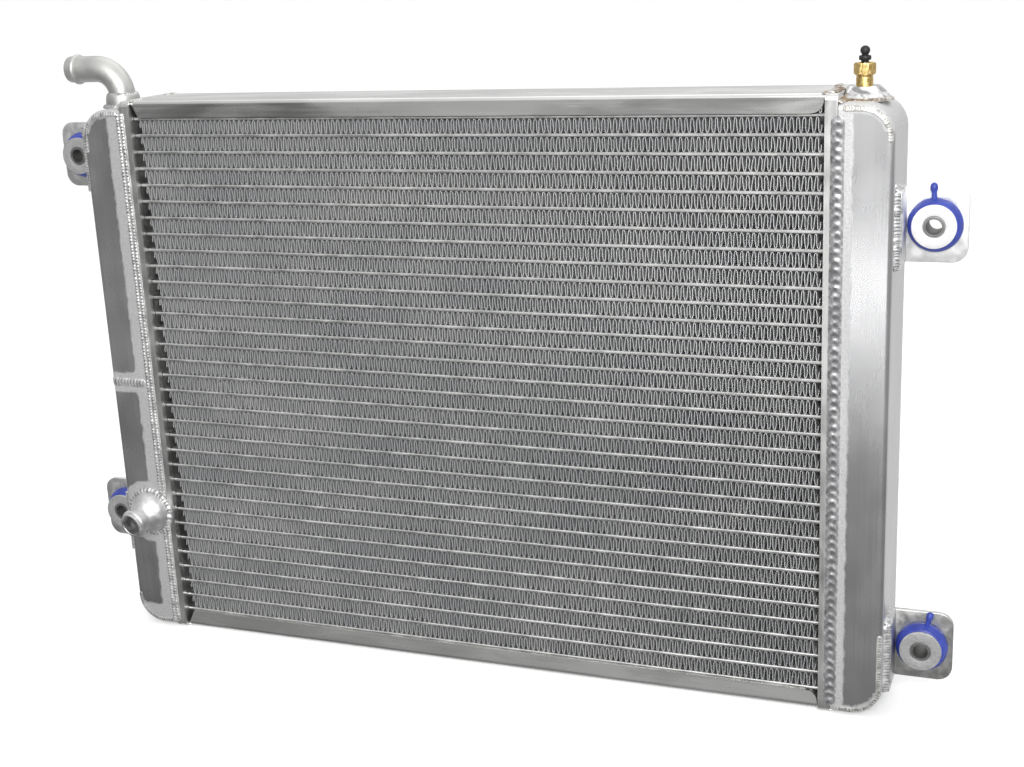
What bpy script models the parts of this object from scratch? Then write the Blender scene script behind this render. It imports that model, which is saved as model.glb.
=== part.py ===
"""Double-pass crossflow car radiator, welded from aluminium sheet, on four bushed brackets.

Blender 4.5, metres, +Z up. X runs across the core, -Y is the front face and the origin is
the middle of the underside of the bottom side plate, half way through the core's depth.
"""

import math

import bmesh
import bpy
from mathutils import Matrix, Vector

MM = 0.001

# Core: flat tubes on an even pitch, with a row of fins above and below each of them.
TUBE_COUNT = 33
TUBE_PITCH = 10.0 * MM
TUBE_THICKNESS = 1.8 * MM
TUBE_WALL = 0.3 * MM
CORE_WIDTH = 414.0 * MM
CORE_DEPTH = 46.0 * MM
FIN_BACK_WEB = 0.7 * MM
FIN_STOP_LEFT = 6.0 * MM
FIN_STOP_RIGHT = 1.7 * MM

# Side plates: folded channels over the outermost fins.
PLATE_SHEET = 1.5 * MM
PLATE_BEND = 2.0 * MM
LIP_CORNER = 6.5 * MM
LIP_SHORTER = 1.2 * MM

# Header plates and tanks: pans welded edge to edge.
HEADER_SHEET = 2.0 * MM
HEADER_REACH = 6.5 * MM
TUBE_INTO_TANK = 3.0 * MM
TANK_SHEET = 2.0 * MM
TANK_REACH = 35.2 * MM
TANK_PROUD = 4.5 * MM
TANK_BEND = 3.0 * MM
TANK_CORNER = 17.0 * MM
TANK_TOP_STEP = 4.9 * MM
TANK_FOOT_STEP = 0.9 * MM

# Hose pipes: both are the same pipe with a rolled bead.
PIPE_RADIUS = 8.0 * MM
PIPE_WALL = 1.5 * MM
BEAD_RISE = 1.3 * MM
BEAD_HALF = 1.6 * MM
OUTLET_BEAD_FROM_END = 3.2 * MM
ELBOW_BEAD_FROM_END = 5.6 * MM
ELBOW_BEND = 17.0 * MM
ELBOW_CENTRE_HEIGHT = 22.5 * MM
ELBOW_STRAIGHT = 19.0 * MM
ELBOW_FROM_WALL = 13.2 * MM
COLLAR_RADIUS = 10.3 * MM
COLLAR_HEIGHT = 7.5 * MM
OUTLET_HEIGHT = 79.0 * MM
OUTLET_FROM_WALL = 17.7 * MM
OUTLET_LENGTH = 19.2 * MM
OUTLET_DOME = 13.0 * MM
OUTLET_TURN = math.radians(9.7)
OUTLET_DIP = math.radians(10.4)

# Bleed valve: a welded boss, a brass body and a black screw with its seal.
BLEED_FROM_WALL = 19.6 * MM
BOSS_RADIUS = 13.5 * MM
BOSS_TOP_RADIUS = 8.2 * MM
BOSS_HEIGHT = 6.6 * MM
VALVE_RADIUS = 4.85 * MM
VALVE_STEM_HEIGHT = 5.3 * MM
HEX_ACROSS_FLATS = 10.2 * MM
HEX_HEIGHT = 6.1 * MM
SCREW_RADIUS = 2.0 * MM
SCREW_TRAVEL = 2.0 * MM
SCREW_FLANGE_RADIUS = 3.1 * MM
SCREW_BALL_RADIUS = 2.5 * MM
SEAL_SECTION = 0.8 * MM

# Brackets, with a soft bush and a flanged sleeve in each. Their holes' spacing and the
# offset between the left and right pairs are shares of the core's height.
BRACKET_SHEET = 3.0 * MM
BRACKET_HEIGHT = 40.0 * MM
BRACKET_REACH = 34.6 * MM
BRACKET_FLANGE = 25.0 * MM
BRACKET_CORNER = 8.0 * MM
BRACKET_FOLD = 0.3 * MM
BRACKET_SHARE = 0.695
BRACKET_STAGGER_SHARE = 0.0503
HOLE_FROM_WALL = 18.0 * MM
BUSH_NECK = 10.0 * MM
BUSH_RIM = 14.1 * MM
BUSH_FACE = 11.6 * MM
BUSH_RIM_DEPTH = 2.2 * MM
BUSH_FRONT_DEPTH = 6.7 * MM
BUSH_REAR_DEPTH = 5.7 * MM
TAIL_RADIUS = 1.3 * MM
TAIL_BULB = 2.0 * MM
TAIL_LENGTH = 6.0 * MM
TAIL_ANGLES = {"upper_left": 66.0, "lower_left": 55.0, "upper_right": 93.0, "lower_right": 78.0}
SLEEVE_BORE = 4.0 * MM
SLEEVE_WALL = 1.25 * MM
SLEEVE_DISC = 11.35 * MM
SLEEVE_DISC_SHEET = 1.5 * MM
SLEEVE_LIP = 0.4 * MM

# The gap left between pieces that touch.
GAP = 0.3 * MM

FIN_SPACE = TUBE_PITCH - TUBE_THICKNESS
CORE_MIDDLE = (
    0.5 * (TUBE_COUNT - 1) * TUBE_PITCH + 0.5 * TUBE_THICKNESS + FIN_SPACE + GAP + PLATE_SHEET
)
CORE_TOP = 2.0 * CORE_MIDDLE
HALF_WIDTH = 0.5 * CORE_WIDTH
HALF_DEPTH = 0.5 * CORE_DEPTH
TANK_HALF_DEPTH = HALF_DEPTH + TANK_PROUD
TANK_START = HALF_WIDTH + HEADER_REACH + GAP
TANK_OUT = HALF_WIDTH + TANK_REACH
TANK_TOP = CORE_TOP - TANK_TOP_STEP
TANK_FOOT = TANK_FOOT_STEP
BAFFLE_HEIGHT = CORE_MIDDLE - 0.5 * TUBE_PITCH

ALUMINIUM = (0.70, 0.70, 0.71)
CAST = (0.62, 0.62, 0.60)
BRASS = (0.62, 0.46, 0.16)
BLACK = (0.012, 0.014, 0.013)
BLUE = (0.06, 0.08, 0.42)
PALE = (0.80, 0.80, 0.80)


# Shared shapes ------------------------------------------------------------------------


def clear_scene():
    """Remove whatever the file holds before the radiator is made."""
    for item in list(bpy.data.objects):
        bpy.data.objects.remove(item, do_unlink=True)


def finish_material(name, colour, roughness, metallic):
    """One Principled finish for one piece."""
    material = bpy.data.materials.new(name)
    material.use_nodes = True
    shader = material.node_tree.nodes["Principled BSDF"]
    shader.inputs["Base Color"].default_value = (*colour, 1.0)
    shader.inputs["Roughness"].default_value = roughness
    shader.inputs["Metallic"].default_value = metallic
    return material


def loft(rings, wrap=False):
    """A closed mesh through rings of equal length, capped at its ends or joined end to end."""
    size = len(rings[0])
    points = [point for ring in rings for point in ring]
    faces = []
    for k in range(len(rings) if wrap else len(rings) - 1):
        low = k * size
        high = (k + 1) % len(rings) * size
        for i in range(size):
            j = (i + 1) % size
            faces.append((low + i, low + j, high + j, high + i))
    if not wrap:
        faces.append(tuple(range(size)))
        faces.append(tuple(range(len(points) - size, len(points))))
    mesh = bpy.data.meshes.new("shape")
    mesh.from_pydata(points, [], faces)
    shape = bmesh.new()
    shape.from_mesh(mesh)
    bmesh.ops.recalc_face_normals(shape, faces=shape.faces)
    shape.to_mesh(mesh)
    shape.free()
    return mesh


def add_object(name, mesh, place=(0.0, 0.0, 0.0)):
    """Put a mesh into the scene as an object of its own."""
    item = bpy.data.objects.new(name, mesh)
    item.location = place
    bpy.context.scene.collection.objects.link(item)
    return item


def piece(name, mesh, finish, place=(0.0, 0.0, 0.0), smooth=False):
    """A finished sub-part with its own material."""
    item = add_object(name, mesh, place)
    material = finish_material(name, *finish)
    if item.data.materials:
        item.data.materials[0] = material
    else:
        item.data.materials.append(material)
    if smooth:
        item.data.shade_smooth()
        item.data.set_sharp_from_angle(angle=math.radians(35.0))
    return item


def combine(mesh, tool, operation):
    """Cut, join or intersect two closed meshes and give back the result."""
    body = add_object("body", mesh)
    other = add_object("tool", tool)
    modifier = body.modifiers.new("combine", "BOOLEAN")
    modifier.operation = operation
    modifier.solver = "EXACT"
    modifier.object = other
    bpy.context.view_layer.update()
    graph = bpy.context.evaluated_depsgraph_get()
    result = bpy.data.meshes.new_from_object(body.evaluated_get(graph))
    bpy.data.objects.remove(body, do_unlink=True)
    bpy.data.objects.remove(other, do_unlink=True)
    return result


def moved(mesh, matrix):
    """The same mesh turned and carried to another place."""
    mesh.transform(matrix)
    return mesh


def arc(centre, radius, start, end, steps):
    """Points along an arc, angles in degrees, both ends included."""
    points = []
    for i in range(steps + 1):
        angle = math.radians(start + (end - start) * i / steps)
        points.append((centre[0] + radius * math.cos(angle), centre[1] + radius * math.sin(angle)))
    return points


def along_x(outline, x):
    """A (y, z) outline as a ring at one x."""
    return [(x, y, z) for y, z in outline]


def along_y(outline, y):
    """An (x, z) outline as a ring at one y."""
    return [(x, y, z) for x, z in outline]


def along_z(outline, z):
    """An (x, y) outline as a ring at one z."""
    return [(x, y, z) for x, y in outline]


def turned(profile, steps, hollow=False):
    """A solid of revolution about Z from (radius, height) points."""
    rings = []
    for radius, height in profile:
        outline = arc((0.0, 0.0), radius, 0.0, 360.0 * (steps - 1) / steps, steps - 1)
        rings.append(along_z(outline, height))
    return loft(rings, wrap=hollow)


def rounded_box_outline(low, high, radius, steps):
    """A rectangle with rounded corners between two (u, v) corners."""
    (u0, v0), (u1, v1) = low, high
    outline = arc((u1 - radius, v1 - radius), radius, 0.0, 90.0, steps)
    outline += arc((u0 + radius, v1 - radius), radius, 90.0, 180.0, steps)
    outline += arc((u0 + radius, v0 + radius), radius, 180.0, 270.0, steps)
    outline += arc((u1 - radius, v0 + radius), radius, 270.0, 360.0, steps)
    return outline


def swept_pipe(path, radius_at, steps):
    """A solid round bar along a path in the XZ plane."""
    rings = []
    for k, point in enumerate(path):
        before = path[max(k - 1, 0)]
        after = path[min(k + 1, len(path) - 1)]
        heading = (Vector(after) - Vector(before)).normalized()
        across = Vector((heading.z, 0.0, -heading.x))
        ring = []
        for i in range(steps):
            angle = 2.0 * math.pi * i / steps
            offset = math.cos(angle) * across + math.sin(angle) * Vector((0.0, 1.0, 0.0))
            ring.append(tuple(Vector(point) + radius_at(k) * offset))
        rings.append(ring)
    return loft(rings)


# Core -----------------------------------------------------------------------------------


def tube_height(number):
    """Height of a tube's middle, counted from the top."""
    return CORE_MIDDLE + (0.5 * (TUBE_COUNT - 1) - number) * TUBE_PITCH


def tube_section(margin):
    """Flat tube outline with nosed edges, grown or shrunk all round by a margin."""
    half = 0.5 * TUBE_THICKNESS + margin
    front = -HALF_DEPTH - margin
    back = HALF_DEPTH - FIN_BACK_WEB - GAP + margin
    return [
        (front + 0.5 * half, half),
        (front, 0.4 * half),
        (front, -0.4 * half),
        (front + 0.5 * half, -half),
        (back - 0.5 * half, -half),
        (back, -0.4 * half),
        (back, 0.4 * half),
        (back - 0.5 * half, half),
    ]


def make_tubes():
    """Thin flat tubes that reach through both header plates."""
    reach = HALF_WIDTH + HEADER_SHEET + TUBE_INTO_TANK
    outer = tube_section(0.0)
    inner = tube_section(-TUBE_WALL)
    rings = [
        along_x(outer, -reach),
        along_x(outer, reach),
        along_x(inner, reach),
        along_x(inner, -reach),
    ]
    for number in range(TUBE_COUNT):
        mesh = loft(rings, wrap=True)
        place = (0.0, 0.0, tube_height(number))
        piece(f"tube_{number + 1:02d}", mesh, (ALUMINIUM, 0.35, 1.0), place)


def make_fin_pack():
    """Every fin row as a slab between the tubes, joined by a thin web behind the tubes."""
    web = HALF_DEPTH - FIN_BACK_WEB
    front = -HALF_DEPTH
    outline = []
    for row in range(TUBE_COUNT + 1):
        top = tube_height(row - 1) - 0.5 * TUBE_THICKNESS - GAP
        foot = tube_height(row) + 0.5 * TUBE_THICKNESS + GAP
        outline.append((web, top) if row else (HALF_DEPTH, top))
        outline.append((front, top))
        outline.append((front, foot))
        outline.append((web, foot) if row < TUBE_COUNT else (HALF_DEPTH, foot))
    left = along_x(outline, -HALF_WIDTH + FIN_STOP_LEFT)
    right = along_x(outline, HALF_WIDTH - FIN_STOP_RIGHT)
    piece("fin_pack", loft([left, right]), (ALUMINIUM, 0.45, 1.0))


def channel_outline():
    """Section of the bottom side plate: a web with a bent-up lip front and back."""
    half = HALF_DEPTH + GAP + PLATE_SHEET
    lip = PLATE_SHEET + GAP + FIN_SPACE
    inner = PLATE_BEND - PLATE_SHEET
    outline = [(-half, lip)]
    outline += arc((-half + PLATE_BEND, PLATE_BEND), PLATE_BEND, 180.0, 270.0, 4)
    outline += arc((half - PLATE_BEND, PLATE_BEND), PLATE_BEND, 270.0, 360.0, 4)
    outline.append((half, lip))
    outline.append((half - PLATE_SHEET, lip))
    outline += arc((half - PLATE_BEND, PLATE_BEND), inner, 0.0, -90.0, 2)
    outline += arc((-half + PLATE_BEND, PLATE_BEND), inner, 270.0, 180.0, 2)
    outline.append((-half + PLATE_SHEET, lip))
    return outline


def lip_end_cutter(side):
    """What is taken off both lips at one end: a short step and a rounded corner."""
    lip = PLATE_SHEET + GAP + FIN_SPACE
    end = HALF_WIDTH - GAP - LIP_SHORTER
    outline = [(end, PLATE_BEND)]
    outline += arc((end - LIP_CORNER, lip - LIP_CORNER), LIP_CORNER, 0.0, 90.0, 6)
    outline.append((end - LIP_CORNER, lip + PLATE_SHEET))
    outline.append((HALF_WIDTH + PLATE_SHEET, lip + PLATE_SHEET))
    outline.append((HALF_WIDTH + PLATE_SHEET, PLATE_BEND))
    outline = [(side * x, z) for x, z in outline]
    reach = HALF_DEPTH + 3.0 * PLATE_SHEET
    return loft([along_y(outline, -reach), along_y(outline, reach)])


def make_side_plates():
    """Two like channels, the upper one turned over."""
    reach = HALF_WIDTH - GAP
    outline = channel_outline()
    for name, turn, height in (("bottom", 0.0, 0.0), ("top", math.pi, CORE_TOP)):
        mesh = loft([along_x(outline, -reach), along_x(outline, reach)])
        for side in (-1.0, 1.0):
            mesh = combine(mesh, lip_end_cutter(side), "DIFFERENCE")
        moved(mesh, Matrix.Rotation(turn, 4, "X"))
        piece(f"side_plate_{name}", mesh, (ALUMINIUM, 0.3, 1.0), (0.0, 0.0, height))


# Header plates and tanks ----------------------------------------------------------------


def make_header_plates():
    """Slotted pans that the tube ends pass through."""
    depth = TANK_HALF_DEPTH
    wall = TANK_SHEET
    outer = rounded_box_outline((-depth, 0.0), (depth, CORE_TOP), TANK_BEND, 3)
    inner = rounded_box_outline(
        (-depth + wall, TANK_FOOT + wall), (depth - wall, TANK_TOP - wall), TANK_BEND - wall, 3
    )
    for name, side in (("left", -1.0), ("right", 1.0)):
        face = side * HALF_WIDTH
        rim = side * (HALF_WIDTH + HEADER_REACH)
        floor = side * (HALF_WIDTH + HEADER_SHEET)
        mesh = loft(
            [along_x(outer, face), along_x(outer, rim), along_x(inner, rim), along_x(inner, floor)]
        )
        mesh = combine(mesh, slot_cutter(face, floor), "DIFFERENCE")
        piece(f"header_plate_{name}", mesh, (ALUMINIUM, 0.35, 1.0))


def slot_cutter(face, floor):
    """One bar per tube, as wide as the tube and its clearance."""
    start = 1.5 * face - 0.5 * floor
    end = 1.5 * floor - 0.5 * face
    shape = bmesh.new()
    for number in range(TUBE_COUNT):
        outline = tube_section(GAP)
        bar = loft([along_x(outline, start), along_x(outline, end)])
        moved(bar, Matrix.Translation((0.0, 0.0, tube_height(number))))
        shape.from_mesh(bar)
    mesh = bpy.data.meshes.new("slots")
    shape.to_mesh(mesh)
    shape.free()
    return mesh


def tank_solid(side, grow, start, foot, top, round_foot=True, round_top=True):
    """Outer or inner form of a tank: a deep pan with bent edges and rounded outer corners.

    grow is how far its walls stand outside the tank's outer surface; foot and top are heights.
    An end that isn't rounded is a plain cut across the tank.
    """
    depth = TANK_HALF_DEPTH + grow
    out = TANK_OUT + grow
    bend = TANK_BEND + grow
    turns = [math.radians(t) for t in (90.0, 60.0, 30.0, 0.0)]
    back = [(depth - bend * (1.0 - math.sin(t)), bend * (1.0 - math.cos(t))) for t in turns]
    front = [(-y, inset) for y, inset in reversed(back)]
    rings = []
    for y, inset in back + front:
        outline = tank_outline(side, out, start, foot, top, inset, grow, round_foot, round_top)
        rings.append(along_y(outline, y))
    return loft(rings)


def tank_outline(side, out, start, foot, top, inset, grow, round_foot, round_top):
    """The tank seen from the front, drawn in by an inset where its edge is bent."""
    corner = TANK_CORNER + grow - inset
    right = out - inset
    outline = []
    if round_top:
        high = top - inset
        outline.append((start, high))
        outline += arc((right - corner, high - corner), corner, 90.0, 0.0, 6)
    else:
        outline += [(start, top), (right, top)]
    if round_foot:
        low = foot + inset
        outline += arc((right - corner, low + corner), corner, 0.0, -90.0, 6)
        outline.append((start, low))
    else:
        outline += [(right, foot), (start, foot)]
    return [(side * x, z) for x, z in outline]


def tank_shell(side, foot, top, round_foot=True, round_top=True):
    """A tank wall of even sheet, open to the header plate and at any plain end."""
    outer = tank_solid(side, 0.0, TANK_START, foot, top, round_foot, round_top)
    inner_foot = foot + TANK_SHEET if round_foot else foot - TANK_SHEET
    inner_top = top - TANK_SHEET if round_top else top + TANK_SHEET
    inner = tank_solid(
        side, -TANK_SHEET, TANK_START - TANK_SHEET, inner_foot, inner_top, round_foot, round_top
    )
    return combine(outer, inner, "DIFFERENCE")


def grown_tank(side):
    """The whole tank's outer form with the gap added, for fitting what is welded onto it."""
    return tank_solid(side, GAP, HALF_WIDTH, TANK_FOOT - GAP, TANK_TOP + GAP)


def grown_header(side):
    """The header plate's outer form with the gap added."""
    depth = TANK_HALF_DEPTH + GAP
    outline = rounded_box_outline((-depth, -GAP), (depth, CORE_TOP + GAP), TANK_BEND + GAP, 3)
    faces = (side * (HALF_WIDTH - GAP), side * TANK_START)
    return loft([along_x(outline, x) for x in faces])


def hole_bar(place, direction, radius, length):
    """A round bar through a wall, for the hole of a pipe or a boss."""
    bar = turned([(radius, -length), (radius, length)], 24)
    turn = Vector((0.0, 0.0, 1.0)).rotation_difference(direction).to_matrix().to_4x4()
    return moved(bar, Matrix.Translation(place) @ turn)


def make_tanks():
    """The right tank is one shell; the left one is two, with the baffle between them."""
    up = Vector((0.0, 0.0, 1.0))
    bore = PIPE_RADIUS - PIPE_WALL
    finish = (ALUMINIUM, 0.25, 1.0)

    right = tank_shell(1.0, TANK_FOOT, TANK_TOP)
    hole = hole_bar(bleed_place(), up, VALVE_RADIUS + GAP, 3.0 * TANK_SHEET)
    piece("right_tank", combine(right, hole, "DIFFERENCE"), finish)

    upper = tank_shell(-1.0, BAFFLE_HEIGHT + 0.5 * GAP, TANK_TOP, round_foot=False)
    hole = hole_bar(elbow_place(), up, bore, 3.0 * TANK_SHEET)
    piece("left_tank_upper", combine(upper, hole, "DIFFERENCE"), finish)

    lower = tank_shell(-1.0, TANK_FOOT, BAFFLE_HEIGHT - 0.5 * GAP, round_top=False)
    hole = hole_bar(outlet_place(), outlet_direction(), bore, 3.0 * TANK_SHEET)
    piece("left_tank_lower", combine(lower, hole, "DIFFERENCE"), finish)


def make_baffle():
    """A plate across the left tank that sends the coolant through the core twice."""
    depth = TANK_HALF_DEPTH - TANK_SHEET - GAP
    start = HALF_WIDTH + HEADER_SHEET + GAP
    end = TANK_OUT - TANK_SHEET - GAP
    outline = rounded_box_outline((-end, -depth), (-start, depth), TANK_BEND - TANK_SHEET, 2)
    half = 0.5 * TANK_SHEET
    mesh = loft([along_z(outline, BAFFLE_HEIGHT - half), along_z(outline, BAFFLE_HEIGHT + half)])
    piece("left_tank_baffle", mesh, (ALUMINIUM, 0.5, 1.0))


# Hose pipes -----------------------------------------------------------------------------


def bead_profile(end, from_end):
    """Outside of a pipe's end from behind the bead to the lip, as (radius, distance) points."""
    middle = end - from_end
    return [
        (PIPE_RADIUS, middle - BEAD_HALF),
        (PIPE_RADIUS + 0.7 * BEAD_RISE, middle - 0.6 * BEAD_HALF),
        (PIPE_RADIUS + BEAD_RISE, middle),
        (PIPE_RADIUS + 0.7 * BEAD_RISE, middle + 0.6 * BEAD_HALF),
        (PIPE_RADIUS, middle + BEAD_HALF),
        (PIPE_RADIUS, end),
    ]


def elbow_place():
    """Where the inlet's upright leg meets the top of the left tank."""
    return Vector((-TANK_OUT + ELBOW_FROM_WALL, 0.0, TANK_TOP))


def elbow_path(foot, end):
    """Centre line of the elbow: up, round a quarter turn, and outwards."""
    base = elbow_place()
    turn = TANK_TOP + ELBOW_CENTRE_HEIGHT - ELBOW_BEND
    path = [(base.x, 0.0, foot)]
    for x, z in arc((base.x - ELBOW_BEND, turn), ELBOW_BEND, 0.0, 90.0, 9):
        path.append((x, 0.0, z))
    for distance in end:
        path.append((base.x - ELBOW_BEND - distance, 0.0, turn + ELBOW_BEND))
    return path


def make_inlet_elbow():
    """A bent pipe on a welded collar, on top of the left tank."""
    base = elbow_place()
    foot = TANK_TOP - TANK_CORNER + PIPE_RADIUS
    profile = bead_profile(ELBOW_STRAIGHT, ELBOW_BEAD_FROM_END)
    path = elbow_path(foot, [distance for radius, distance in profile])
    plain = len(path) - len(profile)

    def radius_at(k):
        return PIPE_RADIUS if k < plain else profile[k - plain][0]

    mesh = swept_pipe(path, radius_at, 24)
    ledge = COLLAR_HEIGHT - 1.0 * MM
    collar = turned(
        [
            (COLLAR_RADIUS, foot - TANK_TOP),
            (COLLAR_RADIUS, ledge),
            (PIPE_RADIUS + 1.0 * MM, COLLAR_HEIGHT),
        ],
        24,
    )
    mesh = combine(mesh, moved(collar, Matrix.Translation(base)), "UNION")
    bore_path = elbow_path(foot - PIPE_RADIUS, [ELBOW_STRAIGHT + PIPE_RADIUS])
    bore = swept_pipe(bore_path, lambda k: PIPE_RADIUS - PIPE_WALL, 24)
    mesh = combine(mesh, bore, "DIFFERENCE")
    mesh = combine(mesh, grown_tank(-1.0), "DIFFERENCE")
    piece("inlet_elbow", mesh, (CAST, 0.4, 1.0), smooth=True)


def outlet_place():
    """Where the outlet's axis meets the front of the left tank."""
    return Vector((-TANK_OUT + OUTLET_FROM_WALL, -TANK_HALF_DEPTH, OUTLET_HEIGHT))


def outlet_direction():
    """The outlet points forwards, turned a little outwards and down."""
    flat = math.cos(OUTLET_DIP)
    return Vector((-math.sin(OUTLET_TURN) * flat, -math.cos(OUTLET_TURN) * flat,
                   -math.sin(OUTLET_DIP)))


def make_outlet_pipe():
    """A short pipe that grows out of a domed base on the front of the left tank."""
    dome = [
        (OUTLET_DOME, -0.5 * OUTLET_DOME),
        (OUTLET_DOME, 0.05 * OUTLET_LENGTH),
        (0.96 * OUTLET_DOME, 0.16 * OUTLET_LENGTH),
        (0.86 * OUTLET_DOME, 0.28 * OUTLET_LENGTH),
        (0.5 * (OUTLET_DOME + PIPE_RADIUS), 0.4 * OUTLET_LENGTH),
        (PIPE_RADIUS + 0.4 * MM, 0.52 * OUTLET_LENGTH),
        (PIPE_RADIUS, 0.6 * OUTLET_LENGTH),
    ]
    outside = dome + bead_profile(OUTLET_LENGTH, OUTLET_BEAD_FROM_END)
    bore = PIPE_RADIUS - PIPE_WALL
    mesh = turned(outside + [(bore, OUTLET_LENGTH), (bore, -0.5 * OUTLET_DOME)], 28, hollow=True)
    axis = outlet_direction()
    turn = Vector((0.0, 0.0, 1.0)).rotation_difference(axis).to_matrix().to_4x4()
    moved(mesh, Matrix.Translation(outlet_place()) @ turn)
    face = -TANK_HALF_DEPTH - GAP
    reach = 2.0 * OUTLET_DOME
    place = outlet_place()
    outline = [
        (place.x - reach, place.z - reach),
        (place.x + reach, place.z - reach),
        (place.x + reach, place.z + reach),
        (place.x - reach, place.z + reach),
    ]
    behind = loft([along_y(outline, face), along_y(outline, face + reach)])
    mesh = combine(mesh, behind, "DIFFERENCE")
    piece("outlet_pipe", mesh, (ALUMINIUM, 0.3, 1.0), smooth=True)


# Bleed valve ----------------------------------------------------------------------------


def bleed_place():
    """Where the bleed valve's axis meets the top of the right tank."""
    return Vector((TANK_OUT - BLEED_FROM_WALL, 0.0, TANK_TOP))


def make_bleed_boss():
    """A polished cone welded over the hole in the tank's top."""
    bore = VALVE_RADIUS + GAP
    mesh = turned(
        [
            (bore, -TANK_CORNER),
            (BOSS_RADIUS, -TANK_CORNER),
            (BOSS_RADIUS, 0.15 * BOSS_HEIGHT),
            (BOSS_TOP_RADIUS, BOSS_HEIGHT),
            (bore, BOSS_HEIGHT),
        ],
        32,
        hollow=True,
    )
    moved(mesh, Matrix.Translation(bleed_place()))
    mesh = combine(mesh, grown_tank(1.0), "DIFFERENCE")
    mesh = combine(mesh, grown_header(1.0), "DIFFERENCE")
    piece("bleed_boss", mesh, (PALE, 0.08, 1.0), smooth=True)


def valve_heights():
    """Heights in the bleed valve above the tank's top: seal seat, hex foot and hex top."""
    hex_foot = BOSS_HEIGHT + VALVE_STEM_HEIGHT
    hex_top = hex_foot + HEX_HEIGHT
    seat = hex_foot - 2.0 * SEAL_SECTION
    return seat, hex_foot, hex_top


def seal_radius():
    """Radius of the ring that runs through the middle of the seal's section."""
    return SCREW_RADIUS + GAP + SEAL_SECTION


def make_valve_body():
    """A brass body: a round stem in the boss and a hexagon, bored for the screw."""
    seat, hex_foot, hex_top = valve_heights()
    pocket = seal_radius() + SEAL_SECTION + GAP
    vent = 0.5 * SCREW_RADIUS
    stem = turned([(VALVE_RADIUS, -2.5 * TANK_SHEET), (VALVE_RADIUS, hex_foot + MM)], 24)
    corner = HEX_ACROSS_FLATS / math.sqrt(3.0)
    outline = [
        (corner * math.sin(math.radians(60.0 * i)), -corner * math.cos(math.radians(60.0 * i)))
        for i in range(6)
    ]
    hexagon = loft([along_z(outline, hex_foot), along_z(outline, hex_top)])
    mesh = combine(stem, hexagon, "UNION")
    bore = turned(
        [
            (vent, -4.0 * TANK_SHEET),
            (vent, screw_tip()),
            (SCREW_RADIUS + GAP, screw_tip() + GAP),
            (SCREW_RADIUS + GAP, seat),
            (pocket, seat),
            (pocket, hex_top + MM),
        ],
        20,
    )
    mesh = combine(mesh, bore, "DIFFERENCE")
    moved(mesh, Matrix.Translation(bleed_place()))
    piece("bleed_valve_body", mesh, (BRASS, 0.35, 1.0))


def screw_tip():
    """Height of the screw's closed tip above the tank's top."""
    return 0.35 * BOSS_HEIGHT


def make_bleed_screw():
    """The screw that opens the valve: a stem, a grip flange and a ball end."""
    hex_top = valve_heights()[2]
    flange = hex_top + 1.2 * MM
    grip = 2.5 * MM
    neck = 0.75 * SCREW_FLANGE_RADIUS
    ball = flange + grip + 2.3 * MM
    profile = [(0.4 * SCREW_RADIUS, screw_tip() + 2.0 * GAP)]
    profile.append((SCREW_RADIUS, screw_tip() + SCREW_RADIUS))
    profile.append((SCREW_RADIUS, flange))
    profile.append((SCREW_FLANGE_RADIUS, flange + 0.2 * grip))
    profile.append((SCREW_FLANGE_RADIUS, flange + 0.8 * grip))
    profile.append((neck, flange + grip))
    profile.append((0.65 * SCREW_BALL_RADIUS, flange + grip + 0.4 * MM))
    for angle in (-45.0, -15.0, 15.0, 45.0, 70.0):
        turn = math.radians(angle)
        profile.append((SCREW_BALL_RADIUS * math.cos(turn), ball + SCREW_BALL_RADIUS * math.sin(turn)))
    mesh = turned(profile, 20)
    piece("bleed_screw", mesh, (BLACK, 0.5, 0.0), bleed_place(), smooth=True)


def make_bleed_seal():
    """The rubber ring that rides on the screw's stem inside the brass body."""
    seat = valve_heights()[0]
    radius = seal_radius()
    height = seat + GAP + SEAL_SECTION
    profile = arc((radius, height), SEAL_SECTION, 0.0, 315.0, 7)
    mesh = turned(profile, 20, hollow=True)
    piece("bleed_seal", mesh, (BLACK, 0.7, 0.0), bleed_place(), smooth=True)


# Brackets, bushes and sleeves -----------------------------------------------------------


def bracket_places():
    """Name, side and height of each bracket's hole."""
    half = 0.5 * BRACKET_SHARE * CORE_TOP
    stagger = BRACKET_STAGGER_SHARE * CORE_TOP
    return [
        ("upper_left", -1.0, CORE_MIDDLE + half + stagger),
        ("lower_left", -1.0, CORE_MIDDLE - half + stagger),
        ("upper_right", 1.0, CORE_MIDDLE + half - stagger),
        ("lower_right", 1.0, CORE_MIDDLE - half - stagger),
    ]


def bracket_mesh():
    """Bent plate: a flange along the tank's wall and a tab with the bush's hole."""
    near = GAP
    sheet = BRACKET_SHEET
    tab = 0.5 * sheet
    outline = [(near, tab - BRACKET_FLANGE), (near + sheet, tab - BRACKET_FLANGE)]
    fold = near + sheet + BRACKET_FOLD
    outline += arc((fold, -tab - BRACKET_FOLD), BRACKET_FOLD, 180.0, 90.0, 2)
    outline += [(BRACKET_REACH, -tab), (BRACKET_REACH, tab)]
    outline += arc((fold, -tab - BRACKET_FOLD), BRACKET_FOLD + sheet, 90.0, 180.0, 4)
    half = 0.5 * BRACKET_HEIGHT
    mesh = loft([along_z(outline, -half), along_z(outline, half)])
    mesh = combine(mesh, corner_cutter(), "INTERSECT")
    hole = hole_bar(Vector((HOLE_FROM_WALL, 0.0, 0.0)), Vector((0.0, 1.0, 0.0)),
                    BUSH_NECK + GAP, 2.0 * sheet)
    return combine(mesh, hole, "DIFFERENCE")


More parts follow.
